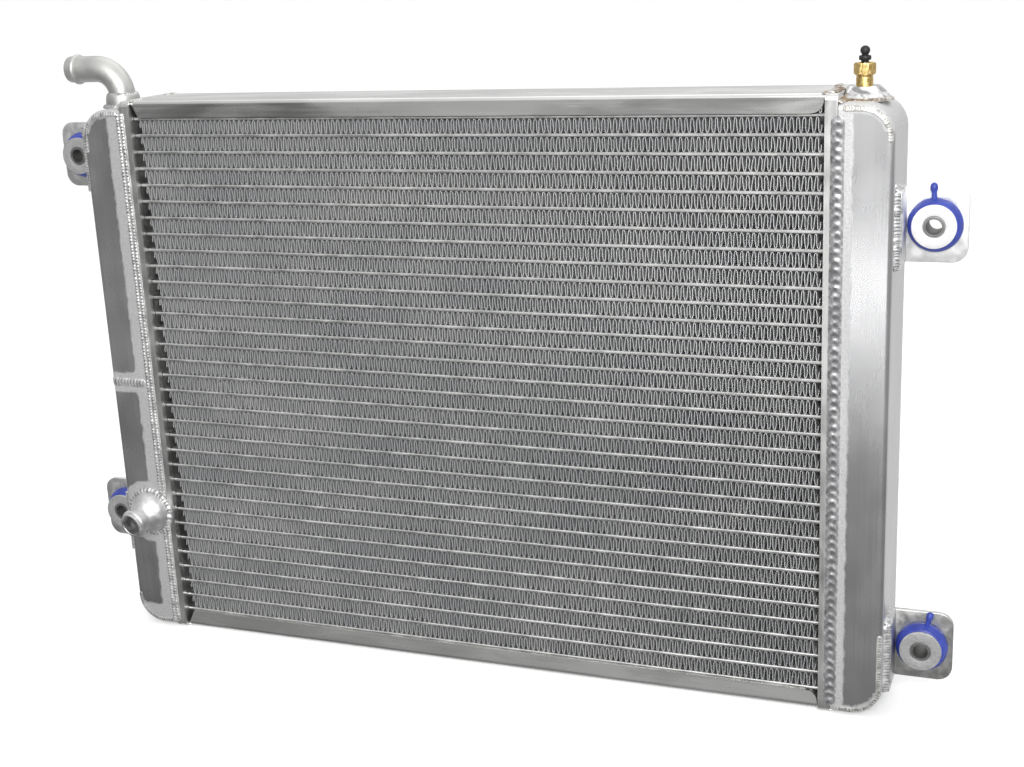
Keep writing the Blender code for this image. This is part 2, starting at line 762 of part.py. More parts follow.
def corner_cutter():
    """Outline that rounds the bracket's two outer corners."""
    half = 0.5 * BRACKET_HEIGHT
    outline = arc((BRACKET_REACH - BRACKET_CORNER, half - BRACKET_CORNER), BRACKET_CORNER,
                  0.0, 90.0, 6)
    outline += [(-BRACKET_SHEET, half), (-BRACKET_SHEET, -half)]
    outline += arc((BRACKET_REACH - BRACKET_CORNER, BRACKET_CORNER - half), BRACKET_CORNER,
                   -90.0, 0.0, 6)
    reach = 2.0 * BRACKET_FLANGE
    return loft([along_y(outline, -reach), along_y(outline, reach)])


def bush_mesh(tail_angle):
    """Soft bush with a groove for the bracket, two coned rims and the moulding's tail."""
    hole = SLEEVE_BORE + SLEEVE_WALL + GAP
    groove = 0.5 * BRACKET_SHEET + GAP
    profile = [
        (hole, groove + BUSH_FRONT_DEPTH),
        (BUSH_FACE, groove + BUSH_FRONT_DEPTH),
        (BUSH_RIM, groove + BUSH_RIM_DEPTH),
        (BUSH_RIM, groove),
        (BUSH_NECK, groove),
        (BUSH_NECK, -groove),
        (BUSH_RIM, -groove),
        (BUSH_RIM, -groove - BUSH_RIM_DEPTH),
        (BUSH_FACE, -groove - BUSH_REAR_DEPTH),
        (hole, -groove - BUSH_REAR_DEPTH),
    ]
    mesh = turned(profile, 24, hollow=True)
    moved(mesh, Matrix.Rotation(math.radians(90.0), 4, "X"))
    end = BUSH_RIM + TAIL_LENGTH
    tail = turned(
        [
            (TAIL_RADIUS, BUSH_RIM - 2.0 * TAIL_RADIUS),
            (TAIL_RADIUS, end - TAIL_BULB),
            (TAIL_BULB, end - 0.4 * TAIL_BULB),
            (TAIL_BULB, end + 0.4 * TAIL_BULB),
            (0.4 * TAIL_BULB, end + TAIL_BULB),
        ],
        8,
    )
    lean = Matrix.Rotation(math.radians(90.0 - tail_angle), 4, "Y")
    out = Matrix.Translation((0.0, -groove - TAIL_BULB - GAP, 0.0))
    return combine(mesh, moved(tail, out @ lean), "UNION")


def sleeve_mesh():
    """Metal sleeve with a broad front disc and a thin raised lip round its bore."""
    outer = SLEEVE_BORE + SLEEVE_WALL
    face = 0.5 * BRACKET_SHEET + GAP + BUSH_FRONT_DEPTH + GAP
    rear = 0.5 * BRACKET_SHEET + GAP + BUSH_REAR_DEPTH + GAP
    profile = [
        (SLEEVE_BORE, face + SLEEVE_DISC_SHEET + SLEEVE_LIP),
        (outer, face + SLEEVE_DISC_SHEET + SLEEVE_LIP),
        (outer, face + SLEEVE_DISC_SHEET),
        (SLEEVE_DISC, face + SLEEVE_DISC_SHEET),
        (SLEEVE_DISC, face),
        (outer, face),
        (outer, -rear),
        (SLEEVE_BORE, -rear),
    ]
    mesh = turned(profile, 24, hollow=True)
    return moved(mesh, Matrix.Rotation(math.radians(90.0), 4, "X"))


def make_mountings():
    """A bracket, a bush and a sleeve at each of the four places."""
    for name, side, height in bracket_places():
        mesh = bracket_mesh()
        if side < 0.0:
            moved(mesh, Matrix.Rotation(math.pi, 4, "Z") @ Matrix.Scale(-1.0, 4, (0.0, 1.0, 0.0)))
            mesh.flip_normals()
        piece(f"bracket_{name}", mesh, (PALE, 0.35, 1.0), (side * TANK_OUT, 0.0, height))
        hole = (side * (TANK_OUT + HOLE_FROM_WALL), 0.0, height)
        bush = bush_mesh(TAIL_ANGLES[name])
        piece(f"bush_{name}", bush, (BLUE, 0.45, 0.0), hole, smooth=True)
        piece(f"sleeve_{name}", sleeve_mesh(), (ALUMINIUM, 0.3, 1.0), hole, smooth=True)


clear_scene()
make_tubes()
make_fin_pack()
make_side_plates()
make_header_plates()
make_tanks()
make_baffle()
make_inlet_elbow()
make_outlet_pipe()
make_bleed_boss()
make_valve_body()
make_bleed_screw()
make_bleed_seal()
make_mountings()
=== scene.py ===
import math

import bmesh
import bpy
from mathutils import Matrix, Vector


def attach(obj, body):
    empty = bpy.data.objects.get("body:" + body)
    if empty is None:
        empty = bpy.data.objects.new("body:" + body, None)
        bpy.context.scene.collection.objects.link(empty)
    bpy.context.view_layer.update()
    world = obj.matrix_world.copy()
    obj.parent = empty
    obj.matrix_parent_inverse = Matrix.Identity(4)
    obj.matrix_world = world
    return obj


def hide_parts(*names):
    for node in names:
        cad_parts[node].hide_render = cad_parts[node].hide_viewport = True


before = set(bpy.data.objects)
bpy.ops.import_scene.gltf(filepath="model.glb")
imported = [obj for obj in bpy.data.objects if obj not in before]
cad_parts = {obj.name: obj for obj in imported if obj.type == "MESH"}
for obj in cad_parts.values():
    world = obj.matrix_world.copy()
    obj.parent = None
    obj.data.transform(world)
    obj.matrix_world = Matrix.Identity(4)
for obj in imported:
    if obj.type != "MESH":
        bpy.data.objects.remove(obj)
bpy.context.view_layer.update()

# Core tubes -----------------------------------------------------------------------------
# Thirty-three flat tubes of thin aluminium, brazed into the header plates at both ends.
# Their rounded noses stand just proud of the fins and are dull from the furnace.

MM = 0.001
TUBE_COUNT = 33
TUBE_PITCH = 10.0 * MM
TUBE_THICKNESS = 1.8 * MM
CORE_MIDDLE = 170.9 * MM


class Amount:
    """A number in a node tree that takes part in plain arithmetic."""

    def __init__(self, owner, socket):
        self.owner, self.socket = owner, socket

    def __add__(self, other):
        return self.owner.sum("ADD", self, other)

    def __sub__(self, other):
        return self.owner.sum("SUBTRACT", self, other)

    def __rsub__(self, other):
        return self.owner.sum("SUBTRACT", other, self)

    def __mul__(self, other):
        return self.owner.sum("MULTIPLY", self, other)

    def __truediv__(self, other):
        return self.owner.sum("DIVIDE", self, other)

    def __abs__(self):
        return self.owner.sum("ABSOLUTE", self)


class Finish:
    """A surface finish, built up from layers of grain, tone and relief."""

    def __init__(self, name, colour, roughness, metallic=1.0):
        self.material = bpy.data.materials.new(name)
        self.material.use_nodes = True
        self.tree = self.material.node_tree
        self.shader = self.tree.nodes["Principled BSDF"]
        self.shader.inputs["Base Color"].default_value = (*colour, 1.0)
        self.shader.inputs["Roughness"].default_value = roughness
        self.shader.inputs["Metallic"].default_value = metallic
        self.place = self.add("ShaderNodeTexCoord").outputs["Object"]
        self.bumps = None

    def add(self, kind, **settings):
        node = self.tree.nodes.new(kind)
        for key, value in settings.items():
            setattr(node, key, value)
        return node

    def feed(self, socket, value):
        value = getattr(value, "socket", value)
        if isinstance(value, bpy.types.NodeSocket):
            self.tree.links.new(value, socket)
        elif value is not None:
            socket.default_value = value

    def grain(self, size, detail=3.0, distortion=0.0, shift=0.0):
        """Mottling whose blotches have a size in metres along X, Y and Z."""
        mapping = self.add("ShaderNodeMapping")
        self.feed(mapping.inputs["Vector"], self.place)
        mapping.inputs["Scale"].default_value = [1.0 / s for s in size]
        mapping.inputs["Location"].default_value = (shift, 2.0 * shift, 3.0 * shift)
        noise = self.add("ShaderNodeTexNoise")
        noise.inputs["Scale"].default_value = 1.0
        noise.inputs["Detail"].default_value = detail
        noise.inputs["Distortion"].default_value = distortion
        self.feed(noise.inputs["Vector"], mapping.outputs["Vector"])
        return Amount(self, noise.outputs["Fac"])

    def axis(self, letter):
        parts = self.add("ShaderNodeSeparateXYZ")
        self.feed(parts.inputs[0], self.place)
        return Amount(self, parts.outputs[letter])

    def away_from(self, spot):
        """Distance from a fixed place."""
        away = self.add("ShaderNodeVectorMath", operation="DISTANCE")
        self.feed(away.inputs[0], self.place)
        away.inputs[1].default_value = spot
        return Amount(self, away.outputs["Value"])

    def sum(self, operation, *values):
        node = self.add("ShaderNodeMath", operation=operation)
        for socket, value in zip(node.inputs, values):
            self.feed(socket, value)
        return Amount(self, node.outputs[0])

    def between(self, value, low, high, to_low=0.0, to_high=1.0):
        """Maps a value from one range to another and keeps it inside."""
        node = self.add("ShaderNodeMapRange", interpolation_type="SMOOTHSTEP")
        self.feed(node.inputs["Value"], value)
        node.inputs["From Min"].default_value = low
        node.inputs["From Max"].default_value = high
        node.inputs["To Min"].default_value = to_low
        node.inputs["To Max"].default_value = to_high
        return Amount(self, node.outputs["Result"])

    def tones(self, amount, stops):
        """Colours at positions along an amount from 0 to 1."""
        ramp = self.add("ShaderNodeValToRGB")
        self.feed(ramp.inputs["Fac"], amount)
        points = ramp.color_ramp.elements
        while len(points) < len(stops):
            points.new(0.5)
        for point, (position, colour) in zip(points, stops):
            point.position = position
            point.color = (*colour, 1.0) if isinstance(colour, tuple) else (colour, colour, colour, 1.0)
        return ramp.outputs["Color"]

    def mix(self, amount, first, second):
        node = self.add("ShaderNodeMix", data_type="RGBA")
        self.feed(node.inputs["Factor"], amount)
        for socket, value in ((node.inputs[6], first), (node.inputs[7], second)):
            self.feed(socket, (*value, 1.0) if isinstance(value, tuple) else value)
        return node.outputs[2]

    def colour(self, value):
        self.feed(self.shader.inputs["Base Color"], value)

    def roughness(self, value):
        self.feed(self.shader.inputs["Roughness"], value)

    def mottle(self, pattern, dark, light, smooth, matt, low=0.3, high=0.7):
        """Runs the colour and the roughness between two values with a pattern."""
        self.colour(self.tones(pattern, [(low, dark), (high, light)]))
        self.roughness(self.between(pattern, 0.3, 0.7, smooth, matt))

    def relief(self, height, depth, strength=1.0):
        """Raises the surface by a height from 0 to 1 times a depth in metres."""
        bump = self.add("ShaderNodeBump")
        bump.inputs["Distance"].default_value = depth
        bump.inputs["Strength"].default_value = strength
        self.feed(bump.inputs["Height"], height)
        if self.bumps is not None:
            self.feed(bump.inputs["Normal"], self.bumps)
        self.bumps = bump.outputs["Normal"]
        self.feed(self.shader.inputs["Normal"], self.bumps)


def tube_height(number):
    return CORE_MIDDLE + (0.5 * (TUBE_COUNT - 1) - number) * TUBE_PITCH


tube_finish = Finish("brazed_tube", (0.74, 0.74, 0.73), 0.4)
blotches = tube_finish.grain((0.012, 0.02, 0.004), 4.0)
tube_finish.mottle(blotches, (0.50, 0.50, 0.49), (0.68, 0.68, 0.67), 0.34, 0.52)
tube_finish.relief(tube_finish.grain((0.0015, 0.0015, 0.0008), 4.0), 0.00006)
for number in range(TUBE_COUNT):
    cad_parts[f"tube_{number + 1:02d}"].material_slots[0].material = tube_finish.material


# Fin strips -----------------------------------------------------------------------------
# Between the tubes lie strips of very thin aluminium, folded into a close wave and brazed
# to the tubes at every crest. Each leg is slightly bent from handling and cut with louvres.

FIN_PERIOD = 3.24 * MM
FIN_STEPS = 14
FIN_SHEET = 0.3 * MM
LOUVRE_PITCH = 1.1 * MM
FIN_LEFT = -203.8 * MM
FIN_RIGHT = 205.3 * MM
CORE_DEPTH = 46.0 * MM


class Shaping:
    """A Geometry Nodes tree under construction, with named inputs."""

    def __init__(self, name):
        self.tree = bpy.data.node_groups.new(name, "GeometryNodeTree")
        self.tree.interface.new_socket("Geometry", in_out="OUTPUT", socket_type="NodeSocketGeometry")
        self.tree.interface.new_socket("Geometry", in_out="INPUT", socket_type="NodeSocketGeometry")
        self.start = self.tree.nodes.new("NodeGroupInput")
        self.end = self.tree.nodes.new("NodeGroupOutput")
        self.names = {}

    def given(self, name, kind="NodeSocketFloat"):
        item = self.tree.interface.new_socket(name, in_out="INPUT", socket_type=kind)
        self.names[name] = item.identifier
        return Amount(self, self.start.outputs[name])

    def add(self, kind, inputs=None, **settings):
        node = self.tree.nodes.new(kind)
        for key, value in settings.items():
            setattr(node, key, value)
        for key, value in (inputs or {}).items():
            value = getattr(value, "socket", value)
            if isinstance(value, bpy.types.NodeSocket):
                self.tree.links.new(value, node.inputs[key])
            else:
                node.inputs[key].default_value = value
        return node

    def sum(self, operation, a, b=0.0):
        return Amount(self, self.add("ShaderNodeMath", {0: a, 1: b}, operation=operation).outputs[0])

    def vector(self, operation, first, second):
        """One step of vector arithmetic, or a scaling if that is the operation."""
        inputs = {0: first, ("Scale" if operation == "SCALE" else 1): second}
        return self.add("ShaderNodeVectorMath", inputs, operation=operation).outputs[0]

    def close(self, geometry, material):
        """Ends the tree with real geometry and its finish."""
        real = self.add("GeometryNodeRealizeInstances", {"Geometry": geometry})
        done = self.add("GeometryNodeSetMaterial", {"Geometry": real.outputs[0], "Material": material})
        self.tree.links.new(done.outputs[0], self.end.inputs[0])

    def grow(self, name, mesh, values):
        """Runs the tree on a mesh and gives back a plain mesh."""
        item = placed(name, mesh)
        shaper = item.modifiers.new("shape", "NODES")
        shaper.node_group = self.tree
        for key, value in values.items():
            shaper[self.names[key]] = value
        bpy.context.view_layer.update()
        graph = bpy.context.evaluated_depsgraph_get()
        made = bpy.data.meshes.new_from_object(item.evaluated_get(graph))
        bpy.data.objects.remove(item, do_unlink=True)
        made.name = name
        return made


def placed(name, data):
    """A new object in the scene, left at the origin."""
    item = bpy.data.objects.new(name, data)
    bpy.context.scene.collection.objects.link(item)
    return item


def fit(name, mesh, replaces=(), body="radiator", sharp=35.0):
    """Puts a finished mesh into the assembly on its body."""
    item = placed(name, mesh)
    if sharp:
        mesh.shade_smooth()
        mesh.set_sharp_from_angle(angle=math.radians(sharp))
    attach(item, body)
    if replaces:
        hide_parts(*replaces)
    return item


def settle(item):
    """Turns an object's modifiers into plain mesh and takes them off."""
    bpy.context.view_layer.update()
    graph = bpy.context.evaluated_depsgraph_get()
    made = bpy.data.meshes.new_from_object(item.evaluated_get(graph))
    item.modifiers.clear()
    item.data = made
    return item


def fin_tree(material):
    """A flat grid bent into a wave, with each leg leaning a little its own way."""
    tree = Shaping("folded_fin_strip")
    length = tree.given("Length")
    middle = tree.given("Middle")
    height = tree.given("Height")
    swing = tree.given("Swing")
    seed = tree.given("Row")
    count = tree.given("Points", "NodeSocketInt")
    grid = tree.add("GeometryNodeMeshGrid", {"Size X": length, "Size Y": CORE_DEPTH - 1.2 * MM,
                                             "Vertices X": count, "Vertices Y": 2})
    parts = tree.add("ShaderNodeSeparateXYZ", {0: tree.add("GeometryNodeInputPosition").outputs[0]})
    x, y = Amount(tree, parts.outputs[0]), Amount(tree, parts.outputs[1])
    along = x / FIN_PERIOD
    turns = along * (2.0 * math.pi)
    wave = tree.sum("SINE", turns)
    pinch = tree.sum("SINE", turns * 2.0) * (-0.07 * FIN_PERIOD)
    spot = tree.add("ShaderNodeCombineXYZ", {0: along * 1.3, 1: wave * 0.55, 2: seed * 7.31})
    noise = tree.add("ShaderNodeTexNoise", {"Vector": spot.outputs[0], "Scale": 1.0, "Detail": 1.0})
    steady = 1.0 - tree.sum("POWER", abs(wave), 4.0)
    lean = (Amount(tree, noise.outputs[0]) - 0.5) * (1.5 * MM) * steady
    moved = tree.add("ShaderNodeCombineXYZ", {
        0: x + pinch + (lean + middle), 1: y - 0.1 * MM, 2: wave * swing + height,
    })
    bent = tree.add("GeometryNodeSetPosition", {"Geometry": grid.outputs[0], "Position": moved.outputs[0]})
    tree.close(bent.outputs[0], material)
    return tree


fin_finish = Finish("fin_strip", (0.7, 0.7, 0.7), 0.36, 0.78)
dust = fin_finish.grain((0.05, 0.004, 0.03), 4.0)
fin_finish.mottle(dust, (0.73, 0.74, 0.75), 0.79, 0.31, 0.40, high=0.72)
louvres = fin_finish.sum("SINE", fin_finish.axis("Y") * (2.0 * math.pi / LOUVRE_PITCH))
fin_finish.relief(louvres, 0.00008, 0.7)
fin_strips = fin_tree(fin_finish.material)
fin_length = math.floor((FIN_RIGHT - FIN_LEFT) / FIN_PERIOD) * FIN_PERIOD
for row in range(TUBE_COUNT + 1):
    strip = fin_strips.grow(f"fin_strip_{row + 1:02d}", bpy.data.meshes.new("blank"), {
        "Length": fin_length,
        "Middle": 0.5 * (FIN_RIGHT + FIN_LEFT),
        "Height": tube_height(row) + 0.5 * TUBE_PITCH,
        "Swing": 0.5 * (TUBE_PITCH - TUBE_THICKNESS - FIN_SHEET),
        "Row": float(row),
        "Points": round(fin_length / FIN_PERIOD) * FIN_STEPS + 1,
    })
    item = fit(f"fin_strip_{row + 1:02d}", strip, ["fin_pack"], sharp=0.0)
    sheet = item.modifiers.new("sheet", "SOLIDIFY")
    sheet.thickness = FIN_SHEET
    sheet.offset = 0.0
    settle(item)
    item.data.shade_smooth()
    item.data.set_sharp_from_angle(angle=math.radians(50.0))


# Side plates ----------------------------------------------------------------------------
# Two channels folded from 1.5 mm aluminium cover the outermost fins. Their lips are cut back
# in a round corner at one end and on a slant at the other, and they are welded to the headers.

PLATE_SHEET = 1.5 * MM
PLATE_BEND = 2.0 * MM
PLATE_HALF_DEPTH = 24.8 * MM
PLATE_LIP = 10.0 * MM
PLATE_END = 206.7 * MM
LIP_ROUND = 6.8 * MM
CORE_TOP = 341.8 * MM


def arc(centre, radius, start, end, steps):
    """Points along an arc, angles in degrees, both ends included."""
    points = []
    for i in range(steps + 1):
        angle = math.radians(start + (end - start) * i / steps)
        points.append((centre[0] + radius * math.cos(angle), centre[1] + radius * math.sin(angle)))
    return points


def skin(rings, caps=True, wrap=False):
    """A mesh over rings of equal length, with its faces turned outwards."""
    size = len(rings[0])
    points = [tuple(point) for ring in rings for point in ring]
    faces = []
    for k in range(len(rings) if wrap else len(rings) - 1):
        low, high = k * size, (k + 1) % len(rings) * size
        faces += [(low + i, low + (i + 1) % size, high + (i + 1) % size, high + i) for i in range(size)]
    if caps and not wrap:
        faces += [tuple(range(size)), tuple(range(len(points) - size, len(points)))]
    mesh = bpy.data.meshes.new("skin")
    mesh.from_pydata(points, [], faces)
    shape = bmesh.new()
    shape.from_mesh(mesh)
    bmesh.ops.recalc_face_normals(shape, faces=shape.faces)
    shape.to_mesh(mesh)
    shape.free()
    return mesh


def lip_end(height, slanted):
    """How far along X the plate reaches at a height above its outer face."""
    drop = max(height - PLATE_BEND, 0.0)
    if slanted:
        return PLATE_END - (1.0 * MM + 0.42 * drop if drop else 0.0)
    end = PLATE_END - (0.6 * MM if drop else 0.0)
    over = max(height - (PLATE_LIP - LIP_ROUND), 0.0)
    return end - LIP_ROUND + math.sqrt(max(LIP_ROUND ** 2 - over ** 2, 0.0))


def channel_mesh(upside_down, lean):
    """A channel whose lips are bent a little past square by the stated lean."""
    half = PLATE_HALF_DEPTH
    drops = [PLATE_LIP - 0.5 * MM * i for i in range(17)]
    outline = [(-half, z) for z in drops]
    outline += arc((-half + PLATE_BEND, PLATE_BEND), PLATE_BEND, 180.0, 270.0, 10)[1:]
    outline += arc((half - PLATE_BEND, PLATE_BEND), PLATE_BEND, 270.0, 360.0, 10)
    outline += [(half, z) for z in reversed(drops[:-1])]
    outline += [(half - PLATE_SHEET, z) for z in drops]
    outline += arc((half - PLATE_BEND, PLATE_BEND), PLATE_BEND - PLATE_SHEET, 0.0, -90.0, 4)[1:]
    outline += arc((-half + PLATE_BEND, PLATE_BEND), PLATE_BEND - PLATE_SHEET, 270.0, 180.0, 4)
    outline += [(-half + PLATE_SHEET, z) for z in reversed(drops[:-1])]
    outline = [(y - math.copysign(lean * max(z - PLATE_BEND, 0.0), y), z) for y, z in outline]
    left = [(-lip_end(z, True), y, z) for y, z in outline]
    right = [(lip_end(z, False), y, z) for y, z in outline]
    rings = [[Vector(a).lerp(Vector(b), t / 40.0) for a, b in zip(left, right)] for t in range(41)]
    mesh = skin(rings)
    if upside_down:
        mesh.transform(Matrix.Diagonal((1.0, 1.0, -1.0, 1.0)))
        mesh.flip_normals()
        mesh.transform(Matrix.Translation((0.0, 0.0, CORE_TOP)))
    return mesh


plate_finish = Finish("side_plate_sheet", (0.75, 0.75, 0.74), 0.24)
rolled = plate_finish.grain((0.25, 0.0012, 0.0012), 3.0)
cloudy = plate_finish.grain((0.06, 0.02, 0.012), 3.0, 0.5)
both = rolled * 0.25 + cloudy * 0.75
plate_finish.colour(plate_finish.tones(both, [(0.34, (0.66, 0.66, 0.65)), (0.66, (0.82, 0.82, 0.81))]))
plate_finish.roughness(plate_finish.between(both, 0.35, 0.65, 0.2, 0.3))
plate_finish.relief(rolled, 0.00002, 0.12)
plate_finish.relief(plate_finish.grain((0.05, 0.03, 0.02), 1.0), 0.0006, 0.35)
for name, upside_down, lean in (("bottom", False, 0.13), ("top", True, 0.0)):
    mesh = channel_mesh(upside_down, lean)
    mesh.materials.append(plate_finish.material)
    fit(f"side_plate_{name}_sheet", mesh, [f"side_plate_{name}"])


# Header plates and baffle ---------------------------------------------------------------
# Slotted pans of 2 mm aluminium take the tube ends. They stand proud of the core, and their
# flanges are welded edge to edge to the tanks. A plain plate divides the left tank.

header_finish = Finish("header_sheet", (0.7, 0.7, 0.7), 0.33)
mill = header_finish.grain((0.0012, 0.002, 0.16), 4.0)
stain = header_finish.grain((0.01, 0.01, 0.018), 4.0, 0.6)
header_finish.mottle(mill * 0.4 + stain * 0.6, (0.56, 0.56, 0.55), (0.80, 0.80, 0.79), 0.26, 0.46, 0.32, 0.66)
header_finish.relief(mill, 0.00003, 0.25)
header_finish.relief(stain, 0.0002, 0.4)
for node in ("header_plate_left", "header_plate_right", "left_tank_baffle"):
    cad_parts[node].material_slots[0].material = header_finish.material


# Tanks ----------------------------------------------------------------------------------
# Each tank is a deep pan of 2 mm aluminium with bent long edges and round outer corners. The
# left one is made of two shells that meet at the baffle. The sheet is brushed along its
# height and is etched pale beside every weld.

TANK_SHEET = 2.0 * MM
TANK_START = 213.8 * MM
TANK_OUT = 242.2 * MM
TANK_TOP = 336.9 * MM
TANK_FOOT = 0.9 * MM
TANK_HALF_DEPTH = 27.5 * MM
TANK_BEND = 3.0 * MM
TANK_CORNER = 17.0 * MM
SEAM_HEIGHT = 165.9 * MM
HEADER_SEAM = 213.6 * MM


def tank_outline(side, inset, foot, top, round_foot, round_top):
    """The tank from the front, drawn in where its long edge bends."""
    corner = TANK_CORNER - inset
    out = TANK_OUT - inset
    outline = [(TANK_START, top - (inset if round_top else 0.0))]
    if round_top:
        outline += arc((out - corner, top - inset - corner), corner, 90.0, 0.0, 14)
    else:
        outline.append((out, top))
    low = foot + (inset if round_foot else 0.0)
    if round_foot:
        outline += arc((out - corner, low + corner), corner, 0.0, -90.0, 14)
    else:
        outline.append((out, foot))
    outline.append((TANK_START, low))
    return [(side * x, z) for x, z in outline]


def tank_mesh(side, foot, top, round_foot=True, round_top=True):
    """A shell whose long edges bend over, open towards the header and where a shell ends."""
    back = [(TANK_HALF_DEPTH, TANK_BEND + 0.6 * MM)]
    bend = arc((TANK_BEND, TANK_BEND), TANK_BEND, 270.0, 180.0, 10)
    back += [(TANK_HALF_DEPTH - drop, inset) for inset, drop in bend]
    steps = back + [(-y, inset) for y, inset in reversed(back)]
    rings = []
    for y, inset in steps:
        outline = tank_outline(side, inset, foot, top, round_foot, round_top)
        rings.append([(x, y, z) for x, z in outline])
    mesh = skin(rings)
    shape = bmesh.new()
    shape.from_mesh(mesh)
    start = side * TANK_START
    open_faces = [f for f in shape.faces if all(abs(v.co.x - start) < 1e-6 for v in f.verts)]
    ends = []
    if not round_top:
        ends += [f for f in shape.faces if all(abs(v.co.z - top) < 1e-6 for v in f.verts)]
    if not round_foot:
        ends += [f for f in shape.faces if all(abs(v.co.z - foot) < 1e-6 for v in f.verts)]
    bmesh.ops.delete(shape, geom=list(set(open_faces + ends)), context="FACES")
    shape.to_mesh(mesh)
    shape.free()
    return mesh


def carve(item, operation, mesh):
    """Cuts, joins or clips an object with a mesh."""
    tool = placed("carving_tool", mesh)
    step = item.modifiers.new("carve", "BOOLEAN")
    step.operation = operation
    step.solver = "EXACT"
    step.object = tool
    settle(item)
    bpy.data.objects.remove(tool, do_unlink=True)


def cut_hole(item, place, axis, radius, length):
    """Takes a round hole out of a piece that isn't placed on its body yet."""
    ring = arc((0.0, 0.0), radius, 0.0, 352.5, 47)
    bar = skin([[(x, y, z) for x, y in ring] for z in (-length, length)])
    turn = UP.rotation_difference(axis).to_matrix().to_4x4()
    bar.transform(Matrix.Translation(place) @ turn)
    carve(item, "DIFFERENCE", bar)


def taken(item):
    """The mesh of an object that was only needed to make it."""
    mesh = item.data
    bpy.data.objects.remove(item, do_unlink=True)
    return mesh


def outlet_axis():
    """The outlet looks forwards, a little outwards and a little down."""
    turn, dip = math.radians(9.7), math.radians(10.4)
    return Vector((-math.sin(turn) * math.cos(dip), -math.cos(turn) * math.cos(dip), -math.sin(dip)))


PIPE_BORE = 6.5 * MM
ELBOW_X = -229.0 * MM
OUTLET_PLACE = Vector((-224.5 * MM, -TANK_HALF_DEPTH, 79.0 * MM))
BLEED_PLACE = Vector((222.6 * MM, 0.0, TANK_TOP))
UP = Vector((0.0, 0.0, 1.0))
ETCHED_FROM_RIGHT = 220.6 * MM
ETCHED_FROM_LEFT = 223.2 * MM
ETCHED_CORNER = 4.2 * MM
ETCHED_SEAM = 6.2 * MM
ETCHED_PIPE = 20.5 * MM
ETCHED_FOOT = 12.5 * MM


def tank_finish(name, light, dark, side):
    """Brushed sheet that is etched pale in a band beside the header and round the corners."""
    finish = Finish(name, light, 0.28)
    brushed = finish.grain((0.0007, 0.0007, 0.09), 4.0)
    cloudy = finish.grain((0.03, 0.03, 0.05), 2.0)
    both = brushed * 0.2 + cloudy * 0.8
    sheet = finish.tones(both, [(0.34, dark), (0.66, light)])
    ragged = (finish.grain((0.004, 0.004, 0.006), 3.0) - 0.5) * 0.0035
    x, z = abs(finish.axis("X")), finish.axis("Z")
    edge = x - (ETCHED_FROM_RIGHT if side > 0.0 else ETCHED_FROM_LEFT)
    u = finish.sum("MAXIMUM", x - (TANK_OUT - TANK_CORNER), 0.0)
    v = abs(z - 0.5 * (TANK_TOP + TANK_FOOT))
    v = finish.sum("MAXIMUM", v - (0.5 * (TANK_TOP - TANK_FOOT) - TANK_CORNER), 0.0)
    only_ends = finish.between(v, 0.0, 3.0 * MM, 0.05, 0.0)
    corner = (TANK_CORNER - ETCHED_CORNER) - finish.sum("SQRT", u * u + v * v) + only_ends
    if side < 0.0:
        edge = finish.sum("SMOOTH_MIN", edge, abs(z - SEAM_HEIGHT) - ETCHED_SEAM, 0.006)
        around_pipe = finish.away_from(OUTLET_PLACE) - ETCHED_PIPE
        at_foot = z - (TANK_FOOT + ETCHED_FOOT)
        edge = finish.sum("MINIMUM", edge, finish.sum("SMOOTH_MIN", around_pipe, at_foot, 0.004))
    edge = finish.sum("MINIMUM", edge, corner) + ragged
    etched = finish.between(edge, -0.0008, 0.0014, 1.0, 0.0)
    frost = finish.grain((0.0012, 0.0012, 0.0012), 4.0)
    finish.colour(finish.mix(etched, sheet, finish.tones(frost, [(0.3, 0.52), (0.7, 0.68)])))
    finish.roughness(finish.between(both, 0.34, 0.66, 0.24, 0.31) + etched * 0.24)
    finish.feed(finish.shader.inputs["Metallic"], finish.between(etched, 0.0, 1.0, 1.0, 0.76))
    finish.relief(brushed, 0.00002, 0.12)
    finish.relief(finish.grain((0.05, 0.05, 0.08), 0.0), 0.0006, 0.25)
    finish.relief(frost * etched, 0.00012, 0.6)
    return finish.material


left_sheet = tank_finish("left_tank_sheet", (0.84, 0.84, 0.84), (0.62, 0.62, 0.62), -1.0)
right_sheet = tank_finish("right_tank_sheet", (0.78, 0.78, 0.79), (0.67, 0.67, 0.68), 1.0)
gap = 0.15 * MM
above, below = SEAM_HEIGHT + gap, SEAM_HEIGHT - gap
for node, foot, top, sheet, hole, axis, radius in (
        ("right_tank", TANK_FOOT, TANK_TOP, right_sheet, BLEED_PLACE, UP, 5.15 * MM),
        ("left_tank_upper", above, TANK_TOP, left_sheet, Vector((ELBOW_X, 0.0, TANK_TOP)), UP, PIPE_BORE),
        ("left_tank_lower", TANK_FOOT, below, left_sheet, OUTLET_PLACE, outlet_axis(), PIPE_BORE)):
    side = math.copysign(1.0, hole.x)
    mesh = tank_mesh(side, foot, top, foot == TANK_FOOT, top == TANK_TOP)
    mesh.materials.append(sheet)
    item = placed(f"{node}_pan", mesh)
    wall = item.modifiers.new("wall", "SOLIDIFY")
    wall.thickness = TANK_SHEET
    wall.offset = -1.0
    settle(item)
    cut_hole(item, hole, axis, radius, 3.0 * TANK_SHEET)
    fit(f"{node}_pan", taken(item), [node], sharp=30.0)


# Welds ----------------------------------------------------------------------------------
# The tanks are welded to the header plates by hand: coarse overlapping pools on the right
# side, a finer double run on the left. Finer beads close the tanks' corners and the cross
# seam, and hold the side plates, the pipes, the boss and the brackets.

BEAD_SIDES = 12


